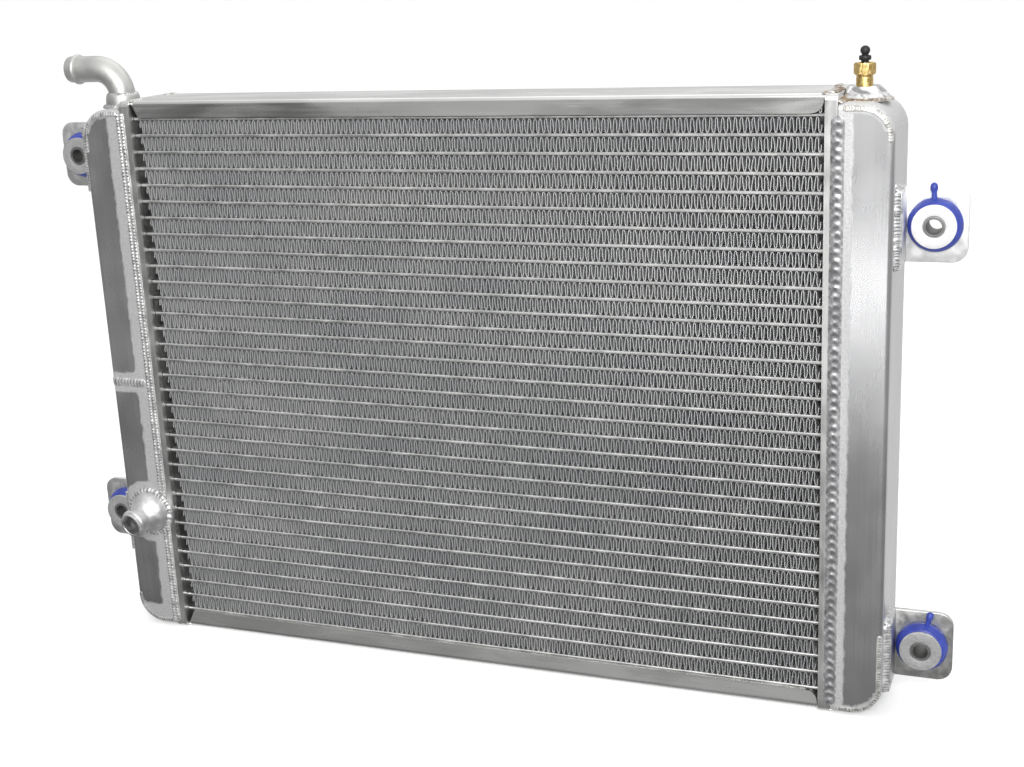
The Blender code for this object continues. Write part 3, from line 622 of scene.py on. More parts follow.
def bead_tree(name, material):
    """Sweeps a low dome along a seam, rippled into crescents where each pool froze."""
    tree = Shaping(name)
    pitch, width, height = tree.given("Pitch"), tree.given("Width"), tree.given("Height")
    ripple, crescent = tree.given("Ripple"), tree.given("Crescent")
    uneven, seed, hollow = tree.given("Uneven"), tree.given("Seed"), tree.given("Hollow")
    points = tree.given("Points", "NodeSocketInt")
    path = tree.add("GeometryNodeMeshToCurve", {"Mesh": tree.start.outputs["Geometry"]}).outputs[0]
    length = Amount(tree, tree.add("GeometryNodeCurveLength", {"Curve": path}).outputs[0])
    out = tree.add("GeometryNodeInputNamedAttribute", {"Name": "out"}, data_type="FLOAT_VECTOR").outputs[0]
    grid = tree.add("GeometryNodeMeshGrid", {"Size X": 1.0, "Size Y": 1.0, "Vertices X": points,
                                             "Vertices Y": BEAD_SIDES + 1})
    spot = tree.add("ShaderNodeSeparateXYZ", {0: tree.add("GeometryNodeInputPosition").outputs[0]})
    share = Amount(tree, spot.outputs[0]) + 0.5
    turn = (Amount(tree, spot.outputs[1]) + 0.5) * (2.0 * math.pi)
    here = tree.add("GeometryNodeSampleCurve", {"Curves": path, "Factor": share},
                    mode="FACTOR", data_type="FLOAT_VECTOR")
    tree.tree.links.new(out, next(i for i in here.inputs if i.name == "Value" and i.enabled))
    facing = next(o for o in here.outputs if o.name == "Value" and o.enabled)
    facing = tree.vector("NORMALIZE", facing, (0.0, 0.0, 0.0))
    across = tree.vector("CROSS_PRODUCT", here.outputs["Tangent"], facing)
    across = tree.vector("NORMALIZE", across, (0.0, 0.0, 0.0))
    run = share * length
    to_end = tree.sum("MINIMUM", run, length - run)
    inward = 1.0 - tree.sum("MINIMUM", to_end / (width * 0.5), 1.0)
    taper = tree.sum("SQRT", tree.sum("MAXIMUM", 1.0 - inward * inward, 0.0))
    track = tree.add("ShaderNodeCombineXYZ", {0: run / (pitch * 1.7), 1: seed})
    noise = tree.add("ShaderNodeTexNoise", {"Vector": track.outputs[0], "Scale": 1.0, "Detail": 2.0})
    shaky = (Amount(tree, noise.outputs[0]) - 0.5) * uneven
    cosine, sine = tree.sum("COSINE", turn), tree.sum("SINE", turn)
    above = tree.sum("MAXIMUM", sine, 0.0)
    phase = run / pitch + crescent * (cosine * cosine) + shaky * 3.0
    ridge = tree.sum("POWER", abs(tree.sum("SINE", phase * math.pi)), 0.7)
    ridge = ridge + hollow * (1.0 - ridge * 2.0)
    dome = above * (shaky + 1.0 - ripple * (1.0 - ridge))
    rise = (dome + tree.sum("MINIMUM", sine, 0.0) * 0.5) * height * taper
    spread = cosine * (width * 0.5) * taper * (shaky * 0.8 + 1.0)
    moved = tree.vector("ADD", here.outputs["Position"], tree.vector("SCALE", facing, rise))
    moved = tree.vector("ADD", moved, tree.vector("SCALE", across, spread))
    # Stores how deep each point lies in a ripple's hollow; the weld finish paints shade there.
    dip = tree.add("GeometryNodeStoreNamedAttribute", {
        "Geometry": grid.outputs[0], "Name": "dip", "Value": (1.0 - ridge) * above,
    }, data_type="FLOAT", domain="POINT")
    bent = tree.add("GeometryNodeSetPosition", {"Geometry": dip.outputs[0], "Position": moved})
    closed = tree.add("GeometryNodeMergeByDistance", {"Geometry": bent.outputs[0], "Distance": 0.002 * MM})
    tree.close(closed.outputs[0], material)
    return tree


def path_mesh(lines):
    """Edges along one or more lines, each with the direction its weld faces."""
    points, edges, outs = [], [], []
    for line, out in lines:
        facing = out if isinstance(out, list) else [out] * len(line)
        start = len(points)
        points += [tuple(p) for p in line]
        outs += [tuple(o) for o in facing]
        edges += [(start + i, start + i + 1) for i in range(len(line) - 1)]
    mesh = bpy.data.meshes.new("path")
    mesh.from_pydata(points, edges, [])
    facing = mesh.attributes.new("out", "FLOAT_VECTOR", "POINT")
    facing.data.foreach_set("vector", [c for o in outs for c in o])
    return mesh


def weld_finish(name, light, dark, burn=None):
    """Frozen metal pools: bright ridges, hollows darkened with painted shade and, in places, a brown heat
    tint.
    """
    finish = Finish(name, light, 0.3, 0.75)
    sooty = finish.grain((0.0035, 0.0035, 0.0045), 4.0, 0.5)
    # The colour drops towards a dark tone in the ripples' hollows: painted shade.
    dip = Amount(finish, finish.add("ShaderNodeAttribute", attribute_name="dip").outputs["Fac"])
    painted_hollow_shade = tuple(0.45 * c for c in dark)
    colour = finish.tones(sooty - dip * 0.45, [(0.12, painted_hollow_shade), (0.34, dark), (0.56, light)])
    if burn is not None:
        spot, radius = burn
        near = finish.between(finish.away_from(spot), 0.3 * radius, radius, 1.0, 0.0)
        patchy = finish.between(finish.grain((0.004, 0.005, 0.003), 3.0, 1.0, 0.4), 0.36, 0.5)
        tint = finish.tones(finish.grain((0.003, 0.004, 0.003), 2.0), [
            (0.35, (0.10, 0.052, 0.022)), (0.62, (0.36, 0.25, 0.14)),
        ])
        colour = finish.mix(near * patchy, colour, tint)
    finish.colour(colour)
    finish.roughness(finish.between(sooty, 0.3, 0.7, 0.52, 0.36))
    finish.relief(finish.grain((0.0006, 0.0006, 0.0006), 4.0), 0.00008, 0.6)
    return finish.material


def face_line(x, y, low, high):
    """An upright seam on the front or back face."""
    return [(x, y, low), (x, y, high)], (0.0, math.copysign(1.0, y), 0.0)


def cross_line(x, z, half, out):
    """A seam that runs from front to back."""
    return [(x, -half, z), (x, half, z)], out


def lay_weld(name, tree, lines, sizes, ripple=0.35, crescent=0.55, uneven=0.3, seed=1, hollow=0.0):
    """Lays one bead along each line, with its pitch, width and height in mm, as one piece."""
    pitch, width, height = (size * MM for size in sizes)
    whole = bmesh.new()
    for number, line in enumerate(lines):
        length = sum((Vector(b) - Vector(a)).length for a, b in zip(line[0], line[0][1:]))
        bead = tree.grow(name, path_mesh([line]), {
            "Pitch": pitch, "Width": width, "Height": height, "Ripple": ripple, "Crescent": crescent,
            "Uneven": uneven, "Seed": seed + 3.7 * number, "Hollow": hollow,
            "Points": max(round(7.0 * length / pitch), 12) + 1,
        })
        whole.from_mesh(bead)
        finish = next(m for m in bead.materials if m)
    bmesh.ops.recalc_face_normals(whole, faces=whole.faces)
    mesh = bpy.data.meshes.new(name)
    for bead_face in whole.faces:
        bead_face.material_index = 0
    whole.to_mesh(mesh)
    whole.free()
    mesh.materials.append(finish)
    return fit(name, mesh, sharp=60.0)


coarse_bead = bead_tree("coarse_bead", weld_finish("right_weld", (0.80, 0.80, 0.80), (0.42, 0.42, 0.43)))
fine_bead = bead_tree("fine_bead", weld_finish("left_weld", (0.74, 0.74, 0.73), (0.42, 0.42, 0.42)))
burnt_bead = bead_tree("burnt_bead", weld_finish(
    "burnt_weld", (0.78, 0.78, 0.77), (0.42, 0.41, 0.39), ((0.2105, -0.004, 0.342), 0.034)))

face = TANK_HALF_DEPTH
lay_weld("weld_right_header", coarse_bead,
         [face_line(HEADER_SEAM, y, 4.0 * MM, 331.0 * MM) for y in (-face, face)],
         (4.7, 7.2, 1.5), ripple=0.55, crescent=0.8, uneven=0.14, seed=3, hollow=1.0)
lay_weld("weld_right_header_ends", burnt_bead, [
    cross_line(HEADER_SEAM + 0.8 * MM, TANK_TOP + 0.6 * MM, face - 1.0 * MM, (0.5, 0.0, 1.0)),
    cross_line(HEADER_SEAM, 0.4 * MM, face - 1.5 * MM, (0.0, 0.0, -1.0)),
], (2.6, 5.2, 1.2), uneven=0.22, seed=8)
lay_weld("weld_header_corner", burnt_bead, [
    ([(0.2098, -24.0 * MM, CORE_TOP + 0.3 * MM), (0.2102, 2.0 * MM, CORE_TOP + 0.3 * MM)], (0.0, 0.0, 1.0)),
], (3.1, 6.4, 0.9), ripple=0.5, uneven=0.7, seed=9)
left = -HEADER_SEAM
lay_weld("weld_left_header_bed", fine_bead, [
    face_line(left, y, 3.0 * MM, 335.0 * MM) for y in (-face + 0.35 * MM, face - 0.35 * MM)
], (2.1, 6.6, 0.9), uneven=0.14, seed=5)
lay_weld("weld_left_header", fine_bead, [
    face_line(left + shift, y, 3.0 * MM, 335.0 * MM) for y in (-face, face) for shift in (-1.5 * MM, 1.3 * MM)
], (2.0, 2.7, 1.2), ripple=0.4, uneven=0.45, seed=6)
lay_weld("weld_left_header_ends", fine_bead, [
    cross_line(left - 0.8 * MM, TANK_TOP + 0.6 * MM, face - 1.0 * MM, (-0.5, 0.0, 1.0)),
    cross_line(left, 0.4 * MM, face - 1.5 * MM, (0.0, 0.0, -1.0)),
], (2.2, 5.0, 1.2), uneven=0.2, seed=7)

seam_out, seam_start = TANK_OUT - TANK_BEND, -216.5 * MM
front_bend = arc((-seam_out, -face + TANK_BEND), TANK_BEND, 270.0, 180.0, 5)[1:]
round_seam = [(seam_start, -face), (-seam_out, -face)] + front_bend
round_seam += [(x, -y) for x, y in reversed(front_bend)] + [(-seam_out, face), (seam_start, face)]
round_seam = [(x, y, SEAM_HEIGHT) for x, y in round_seam]
seam_faces = [(0.0, -1.0, 0.0)] * 2
seam_faces += [(-math.sin(t * 0.1 * math.pi), -math.cos(t * 0.1 * math.pi), 0.0) for t in range(1, 6)]
seam_faces += [(x, -y, z) for x, y, z in reversed(seam_faces)]
lay_weld("weld_left_cross_seam", fine_bead, [(round_seam, seam_faces)],
         (2.3, 5.6, 0.75), uneven=0.14, seed=11)


def corner_line(side, y, inset, top, reach):
    """A bead round a tank's outer corner, starting at the header and ending down its side."""
    radius = TANK_CORNER - inset
    out, edge = TANK_OUT - inset, (TANK_TOP if top else TANK_FOOT)
    way = -1.0 if top else 1.0
    line = [(side * 0.216, y, edge + way * inset)]
    for x, z in arc((out - radius, 0.0), radius, 90.0, 0.0, 10):
        line.append((side * x, y, edge + way * (inset + radius - z)))
    line.append((side * out, y, edge + way * reach))
    return line, (side * 0.35, math.copysign(1.0, y), -0.35 * way)


lay_weld("weld_right_corners", burnt_bead, [
    corner_line(1.0, -face, 2.3 * MM, True, 19.5 * MM), corner_line(1.0, face, 2.3 * MM, True, 19.5 * MM),
    corner_line(1.0, -face, 2.0 * MM, False, 49.0 * MM), corner_line(1.0, face, 2.0 * MM, False, 34.0 * MM),
], (1.5, 3.0, 0.35), ripple=0.3, uneven=0.5, seed=13)
lay_weld("weld_left_corners", fine_bead, [
    *[corner_line(-1.0, y, 2.3 * MM, top, (26.0 if top else 20.0) * MM)
      for top in (True, False) for y in (-face, face)],
    ([(-0.2408, -face + 1.2 * MM, 0.043), (-0.2408, -face + 1.2 * MM, 0.058)], (-0.7, -0.7, 0.0)),
], (1.8, 3.0, 0.5), uneven=0.3, seed=17)
plate_ends = []
for side in (-1.0, 1.0):
    for z, up in ((CORE_TOP, 1.0), (0.0, -1.0)):
        for y in (-1.0, 1.0):
            inner, level = side * (PLATE_END + 0.2 * MM), z - up * 0.3 * MM
            line = [(inner, y * 25.0 * MM, level), (inner, y * 12.0 * MM, level)]
            plate_ends.append((line, (0.0, 0.0, up)))
lay_weld("weld_side_plates", burnt_bead, plate_ends, (2.4, 4.6, 1.1), uneven=0.25, seed=19)


# Inlet elbow ----------------------------------------------------------------------------
# A bent pipe with a satin, cast-like surface and a rolled bead behind its mouth. It stands
# in a collar that is welded to the top of the left tank.

PIPE_RADIUS = 8.0 * MM
ELBOW_BEND = 17.0 * MM
ELBOW_RISE = 5.5 * MM
ELBOW_STRAIGHT = 19.0 * MM


def beaded_end(length, bead_at, rise=1.25 * MM, half=1.7 * MM):
    """Outside of a pipe end, as (radius, distance) points from before the bead to the lip."""
    points = [(PIPE_RADIUS, bead_at - 1.9 * half)]
    for i in range(13):
        t = math.pi * i / 12
        points.append((PIPE_RADIUS + rise * math.sin(t) ** 1.3 if 0 < i < 12 else PIPE_RADIUS,
                       bead_at - half * math.cos(t)))
    points += [(PIPE_RADIUS, length - 0.5 * MM), (PIPE_RADIUS - 0.15 * MM, length - 0.12 * MM),
               (PIPE_RADIUS - 0.5 * MM, length)]
    return points


def ring_at(point, heading, radius, steps):
    """A circle of points across a pipe that bends in the XZ plane."""
    across = Vector((heading.z, 0.0, -heading.x))
    ring = []
    for i in range(steps):
        angle = 2.0 * math.pi * i / steps
        away = math.cos(angle) * across + math.sin(angle) * Vector((0.0, 1.0, 0.0))
        ring.append(Vector(point) + radius * away)
    return ring


def elbow_mesh():
    foot = TANK_TOP - 1.5 * MM
    turn = TANK_TOP + ELBOW_RISE
    stations = [((ELBOW_X, 0.0, foot), UP, PIPE_RADIUS)]
    for i in range(19):
        angle = math.radians(5.0 * i)
        point = (ELBOW_X - ELBOW_BEND * (1.0 - math.cos(angle)), 0.0, turn + ELBOW_BEND * math.sin(angle))
        stations.append((point, Vector((-math.sin(angle), 0.0, math.cos(angle))), PIPE_RADIUS))
    outwards, level = Vector((-1.0, 0.0, 0.0)), turn + ELBOW_BEND
    for radius, distance in beaded_end(ELBOW_STRAIGHT, ELBOW_STRAIGHT - 5.6 * MM):
        stations.append(((ELBOW_X - ELBOW_BEND - distance, 0.0, level), outwards, radius))
    mouth = stations[-1][0][0]
    inside = [((mouth, 0.0, level), outwards, PIPE_BORE + 0.3 * MM),
              ((mouth + 0.3 * MM, 0.0, level), outwards, PIPE_BORE)]
    inside += [(point, heading, PIPE_BORE) for point, heading, radius in reversed(stations[:20])]
    return skin([ring_at(*station, 56) for station in stations + inside], wrap=True)


def turned(profile, steps=64):
    """A ring-shaped or hollow solid turned about Z from a closed (radius, height) profile."""
    angles = [2.0 * math.pi * i / steps for i in range(steps)]
    return skin([[(r * math.cos(a), r * math.sin(a), z) for r, z in profile] for a in angles], wrap=True)


def eased(corners, radius, steps=3):
    """Rounds the corners of a closed (radius, height) profile."""
    points = []
    for i, corner in enumerate(corners):
        here = Vector(corner)
        before, after = Vector(corners[i - 1]), Vector(corners[(i + 1) % len(corners)])
        cut = min(radius, 0.45 * (before - here).length, 0.45 * (after - here).length)
        first = here + (before - here).normalized() * cut
        last = here + (after - here).normalized() * cut
        for k in range(steps + 1):
            t = k / steps
            points.append(tuple(first.lerp(here, t).lerp(here.lerp(last, t), t)))
    return points


cast_finish = Finish("elbow_cast", (0.62, 0.62, 0.60), 0.42, 0.85)
pitted = cast_finish.grain((0.0016, 0.0016, 0.0016), 5.0, 0.3)
handled = cast_finish.grain((0.014, 0.014, 0.014), 3.0)
cast_finish.mottle(handled, (0.48, 0.48, 0.47), (0.60, 0.60, 0.58), 0.36, 0.5)
cast_finish.relief(pitted, 0.00016, 0.7)
elbow = elbow_mesh()
elbow.materials.append(cast_finish.material)
fit("inlet_elbow_pipe", elbow, ["inlet_elbow"])
collar = turned(eased([(PIPE_RADIUS - 0.2 * MM, 7.4 * MM), (9.7 * MM, 7.4 * MM), (10.3 * MM, 5.2 * MM),
                       (10.8 * MM, -0.5 * MM), (PIPE_RADIUS - 0.2 * MM, -0.5 * MM)], 0.9 * MM))
collar.transform(Matrix.Translation((ELBOW_X, 0.0, TANK_TOP)))
collar.materials.append(cast_finish.material)
fit("inlet_elbow_collar", collar)


def ring_line(centre, axis, radius, steps=40):
    """A closed ring of weld round a pipe, facing up and away from it."""
    turn = UP.rotation_difference(axis).to_matrix()
    line, facing = [], []
    for i in range(steps + 1):
        angle = 2.0 * math.pi * i / steps
        away = turn @ Vector((math.cos(angle), math.sin(angle), 0.0))
        line.append(Vector(centre) + radius * away)
        facing.append((0.5 * away + Vector(axis)).normalized())
    return line, facing


lay_weld("weld_inlet_elbow", fine_bead, [ring_line((ELBOW_X, 0.0, TANK_TOP), UP, 11.0 * MM)],
         (2.2, 3.6, 1.3), seed=23)
lay_weld("weld_inlet_pipe", fine_bead, [ring_line((ELBOW_X, 0.0, TANK_TOP + 7.3 * MM), UP, 8.5 * MM)],
         (1.8, 2.2, 0.9), seed=29)


# Outlet pipe ----------------------------------------------------------------------------
# A short turned pipe that grows out of a domed base, welded all round to the front of the
# left tank, with a bead just behind its lip.

OUTLET_LENGTH = 19.2 * MM
DOME_RADIUS = 13.6 * MM
DOME_LENGTH = 10.8 * MM

outlet_finish = Finish("outlet_turned", (0.72, 0.72, 0.72), 0.3)
worn = outlet_finish.grain((0.006, 0.006, 0.006), 4.0, 0.4)
outlet_finish.mottle(worn, 0.58, 0.80, 0.36, 0.55)
outlet_finish.relief(worn, 0.0007, 0.5)
outlet_finish.relief(outlet_finish.grain((0.0009, 0.0009, 0.0009), 4.0), 0.00010, 0.6)
profile = [(PIPE_BORE, -2.0 * MM), (DOME_RADIUS, -2.0 * MM)]
for t in [i / 12.0 for i in range(13)]:
    narrowing = 0.5 + 0.5 * math.cos(math.pi * t ** 1.15)
    profile.append((PIPE_RADIUS + (DOME_RADIUS - PIPE_RADIUS) * narrowing, 0.4 * MM + DOME_LENGTH * t))
profile += beaded_end(OUTLET_LENGTH, OUTLET_LENGTH - 3.4 * MM)[1:]
profile += [(PIPE_BORE + 0.3 * MM, OUTLET_LENGTH), (PIPE_BORE, OUTLET_LENGTH - 0.3 * MM)]
outlet = turned(profile, 72)
outlet_turn = UP.rotation_difference(outlet_axis()).to_matrix().to_4x4()
outlet.transform(Matrix.Translation(OUTLET_PLACE) @ outlet_turn)
outlet.materials.append(outlet_finish.material)
fit("outlet_pipe_turned", outlet, ["outlet_pipe"])
lay_weld("weld_outlet", fine_bead, [ring_line(OUTLET_PLACE, Vector((0, -1, 0)), 14.6 * MM)],
         (2.6, 4.4, 1.5), seed=31)


# Bleed boss and valve -------------------------------------------------------------------
# A polished cone is welded over the hole in the right tank. A brass body with a hexagon
# screws into it, and a black screw with a grip flange and a ball end closes the bore.

BOSS_HEIGHT = 6.6 * MM
VALVE_RADIUS = 4.35 * MM
HEX_FOOT = 11.9 * MM
HEX_TOP = 18.0 * MM
HEX_HALF = 4.9 * MM
HEX_TURN = 8.0

boss_finish = Finish("polished_boss", (0.92, 0.92, 0.93), 0.06)
swirl_and_painted_reflection = boss_finish.grain((0.008, 0.008, 0.006), 2.0, 0.8)
boss_finish.roughness(boss_finish.between(swirl_and_painted_reflection, 0.3, 0.7, 0.04, 0.12))
# The cone's colour runs from dark grey to near white along the swirl: a painted reflection of the
# surroundings.
painted_reflection_tones = [(0.38, (0.34, 0.34, 0.35)), (0.47, (0.72, 0.70, 0.70)), (0.55, 0.93)]
boss_finish.colour(boss_finish.tones(swirl_and_painted_reflection, painted_reflection_tones))
boss_finish.relief(swirl_and_painted_reflection, 0.0003, 0.3)
boss = turned(eased([(5.15 * MM, BOSS_HEIGHT), (8.3 * MM, BOSS_HEIGHT), (13.1 * MM, 1.2 * MM),
                     (13.4 * MM, -0.3 * MM), (5.15 * MM, -0.3 * MM)], 0.8 * MM, 4), 96)
boss.transform(Matrix.Translation(BLEED_PLACE))
boss.materials.append(boss_finish.material)
shape = bmesh.new()
shape.from_mesh(boss)
cut_x = HEADER_SEAM + 0.4 * MM
cut = bmesh.ops.bisect_plane(shape, geom=shape.verts[:] + shape.edges[:] + shape.faces[:],
                             plane_co=(cut_x, 0, 0), plane_no=(-1, 0, 0), clear_outer=True)
bmesh.ops.holes_fill(shape, edges=[e for e in shape.edges if e.is_boundary], sides=0)
bmesh.ops.recalc_face_normals(shape, faces=shape.faces)
shape.to_mesh(boss)
shape.free()
fit("bleed_boss_cone", boss, ["bleed_boss"])
boss_ring, boss_facing = ring_line(BLEED_PLACE, UP, 13.6 * MM)
kept = [i for i, p in enumerate(boss_ring) if p.x > cut_x + 0.6 * MM]
split = next(i for i, k in enumerate(kept) if k != i)
order = kept[split:-1] + kept[:split]
lay_weld("weld_bleed_boss", burnt_bead, [([boss_ring[i] for i in order], [boss_facing[i] for i in order])],
         (2.4, 3.4, 0.9), uneven=0.2, seed=37)

brass_finish = Finish("valve_brass", (0.62, 0.44, 0.16), 0.3)
tarnish = brass_finish.grain((0.002, 0.002, 0.003), 4.0, 0.5)
brass_finish.mottle(tarnish, (0.50, 0.33, 0.10), (0.80, 0.60, 0.26), 0.2, 0.42, high=0.68)
brass_finish.relief(brass_finish.grain((0.0016, 0.0016, 0.00012), 2.0), 0.00005, 0.6)


def circle(radius, height, steps=72, start=0.0):
    """A level ring of points, from an angle in degrees."""
    angles = [math.radians(start) + 2.0 * math.pi * i / steps for i in range(steps)]
    return [(radius * math.cos(a), radius * math.sin(a), height) for a in angles]


def hexagon(height, limit):
    """A hexagon whose corners are turned off to a limiting radius."""
    ring = []
    for i, (x, y, z) in enumerate(circle(1.0, height, start=HEX_TURN)):
        flat = (math.radians(5.0 * i) + math.pi / 3.0) % (math.pi / 3.0) - math.pi / 6.0
        radius = min(HEX_HALF / math.cos(flat), limit)
        ring.append((radius * x, radius * y, z))
    return ring


below = [(VALVE_RADIUS - 0.4 * MM, -5.0 * MM), (VALVE_RADIUS, -4.6 * MM), (VALVE_RADIUS, 10.0 * MM),
         (VALVE_RADIUS - 0.15 * MM, 10.6 * MM), (4.15 * MM, 10.9 * MM), (4.25 * MM, 11.6 * MM),
         (4.7 * MM, HEX_FOOT)]
corners = [(HEX_FOOT + 0.15 * MM, 5.0 * MM), (HEX_FOOT + 0.6 * MM, 5.6 * MM),
           (HEX_TOP - 0.7 * MM, 5.6 * MM), (HEX_TOP - 0.15 * MM, 5.05 * MM)]
bore = [(4.85 * MM, HEX_TOP), (4.0 * MM, HEX_TOP), (3.8 * MM, HEX_TOP - 0.2 * MM), (3.8 * MM, 10.35 * MM),
        (2.3 * MM, 10.35 * MM), (2.3 * MM, 2.6 * MM), (1.0 * MM, 2.3 * MM), (1.0 * MM, -5.0 * MM)]
body = [circle(*point, start=HEX_TURN) for point in below] + [hexagon(*point) for point in corners]
body += [circle(*point, start=HEX_TURN) for point in bore]
valve = skin(body, wrap=True)
valve.transform(Matrix.Translation(BLEED_PLACE))
valve.materials.append(brass_finish.material)
fit("bleed_valve_brass", valve, ["bleed_valve_body"], sharp=22.0)

screw_finish = Finish("screw_black", (0.016, 0.018, 0.016), 0.42, 0.0)
moulded = screw_finish.grain((0.001, 0.001, 0.001), 4.0)
screw_finish.mottle(moulded, (0.006, 0.007, 0.006), (0.016, 0.018, 0.016), 0.42, 0.6, low=0.35)
screw_finish.relief(moulded, 0.00006, 0.6)
outline = [(0.5, 2.9), (1.2, 3.0), (2.0, 4.0), (2.0, 12.0), (1.95, 19.0), (2.3, 19.15), (2.95, 19.3),
           (3.1, 19.6), (3.1, 21.1), (2.95, 21.4), (2.4, 21.6), (1.9, 21.75), (1.55, 21.95), (1.55, 22.1)]
outline += arc((0.0, 24.0), 2.5, -46.0, 80.0, 14)
screw = skin([circle(r * MM, z * MM, 48) for r, z in outline])
screw.transform(Matrix.Translation(BLEED_PLACE))
screw.materials.append(screw_finish.material)
fit("bleed_screw_black", screw, ["bleed_screw"], body="bleed_turner")

seal_finish = Finish("seal_rubber", (0.02, 0.02, 0.02), 0.6, 0.0)
matt = seal_finish.grain((0.0008, 0.0008, 0.0008), 4.0)
seal_finish.mottle(matt, 0.012, 0.03, 0.5, 0.75)
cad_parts["bleed_seal"].material_slots[0].material = seal_finish.material


# Brackets -------------------------------------------------------------------------------
# Four angles bent from 3 mm aluminium plate, tumbled to a pale satin. The flange is welded
# to the tank's outer wall, and the tab carries the bush.

BRACKET_SHEET = 3.0 * MM
BRACKET_FLANGE = 25.0 * MM
BRACKET_REACH = 34.6 * MM
BRACKET_HALF = 20.0 * MM
BRACKET_CORNER = 8.0 * MM
HOLE_FROM_WALL = 18.0 * MM
BRACKET_SPREAD = 118.77 * MM
BRACKET_STAGGER = 17.2 * MM
WALL_GAP = 0.3 * MM


def bracket_mesh(side, height):
    sheet, tab = BRACKET_SHEET, 0.5 * BRACKET_SHEET
    fold = WALL_GAP + sheet + 0.3 * MM
    outline = [(WALL_GAP, tab - BRACKET_FLANGE), (WALL_GAP + sheet, tab - BRACKET_FLANGE)]
    outline += arc((fold, -tab - 0.3 * MM), 0.3 * MM, 180.0, 90.0, 2)
    outline += [(BRACKET_REACH, -tab), (BRACKET_REACH, tab)]
    outline += arc((fold, -tab - 0.3 * MM), 0.3 * MM + sheet, 90.0, 180.0, 8)
    plate = skin([[(x, y, z) for x, y in outline] for z in (-BRACKET_HALF, BRACKET_HALF)])
    across, up = BRACKET_REACH - BRACKET_CORNER, BRACKET_HALF - BRACKET_CORNER
    rounded = arc((across, up), BRACKET_CORNER, 0.0, 90.0, 10)
    rounded += [(-sheet, BRACKET_HALF + sheet), (-sheet, -BRACKET_HALF - sheet)]
    rounded += arc((across, -up), BRACKET_CORNER, -90.0, 0.0, 10)
    blank = skin([[(x, y, z) for x, z in rounded] for y in (-0.05, 0.05)])
    item = placed("bracket", plate)
    carve(item, "INTERSECT", blank)
    cut_hole(item, Vector((HOLE_FROM_WALL, 0.0, 0.0)), Vector((0, 1, 0)), 10.3 * MM, 3.0 * sheet)
    soften = item.modifiers.new("soften", "BEVEL")
    soften.width = 0.35 * MM
    soften.segments = 3
    soften.limit_method = "ANGLE"
    soften.angle_limit = math.radians(40.0)
    mesh = taken(settle(item))
    if side < 0.0:
        mesh.transform(Matrix.Diagonal((-1.0, 1.0, 1.0, 1.0)))
        mesh.flip_normals()
    mesh.transform(Matrix.Translation((side * TANK_OUT, 0.0, height)))
    return mesh


def plate_satin(name, light, dark, roughness):
    finish = Finish(name, light, roughness)
    tumbled = finish.grain((0.004, 0.004, 0.004), 5.0, 0.4)
    finish.mottle(tumbled, dark, light, roughness - 0.06, roughness + 0.1)
    finish.relief(finish.grain((0.0008, 0.0008, 0.0008), 4.0), 0.00008, 0.6)
    return finish.material


middles = {
    "upper_left": (-1.0, CORE_MIDDLE + BRACKET_SPREAD + BRACKET_STAGGER),
    "lower_left": (-1.0, CORE_MIDDLE - BRACKET_SPREAD + BRACKET_STAGGER),
    "upper_right": (1.0, CORE_MIDDLE + BRACKET_SPREAD - BRACKET_STAGGER),
    "lower_right": (1.0, CORE_MIDDLE - BRACKET_SPREAD - BRACKET_STAGGER),
}
# One satin in lighter and darker copies by place: painted light on the upper right bracket, painted shade on
# the lower right one.
satins = {
    "upper_left": plate_satin("bracket_pale", (0.86, 0.86, 0.86), (0.74, 0.74, 0.74), 0.42),
    "upper_right": plate_satin("bracket_painted_light", (0.93, 0.93, 0.93), (0.82, 0.82, 0.82), 0.48),
    "lower_right": plate_satin("bracket_painted_shade", (0.66, 0.66, 0.65), (0.52, 0.52, 0.51), 0.36),
}
satins["lower_left"] = satins["upper_left"]
bracket_lines = []
for name, (side, height) in middles.items():
    mesh = bracket_mesh(side, height)
    mesh.materials.clear()
    mesh.materials.append(satins[name])
    fit(f"bracket_{name}_plate", mesh, [f"bracket_{name}"], sharp=30.0)
    front = 0.5 * BRACKET_SHEET - BRACKET_FLANGE
    x = side * (TANK_OUT + 1.3 * MM)
    bracket_lines.append(([(x, front, height - BRACKET_HALF), (x, front, height + BRACKET_HALF)],
                          (side * 0.5, -0.9, 0.0)))
    for up in (-1.0, 1.0):
        z = height + up * BRACKET_HALF
        bracket_lines.append(([(x, front, z), (x, 0.0, z)], (side * 0.6, 0.0, up)))
lay_weld("weld_brackets", coarse_bead, bracket_lines, (1.7, 5.2, 1.2),
         ripple=0.18, uneven=0.5, seed=41)


# Bushes and sleeves ---------------------------------------------------------------------
# Soft blue bushes are snapped into the brackets' holes, each with the tail that its moulding
# left. A turned, zinc-plated sleeve with a broad disc lines each bush for an M8 bolt.

BUSH_NECK = 10.0 * MM
BUSH_RIM = 14.1 * MM
GROOVE = 1.8 * MM
TURNING_PITCH = 0.45 * MM
BORE_LIP = 5.0 * MM
TAIL_ANGLES = {"upper_left": 66.0, "lower_left": 55.0, "upper_right": 93.0, "lower_right": 78.0}

bush_finish = Finish("bush_blue", (0.05, 0.07, 0.42), 0.42, 0.0)
flow = bush_finish.grain((0.005, 0.005, 0.005), 4.0, 0.6)
bush_finish.mottle(flow, (0.014, 0.028, 0.22), (0.030, 0.054, 0.34), 0.32, 0.55)
bush_finish.relief(bush_finish.grain((0.0009, 0.0009, 0.0009), 3.0), 0.00008, 0.5)
bush_finish.shader.inputs["Specular IOR Level"].default_value = 0.55


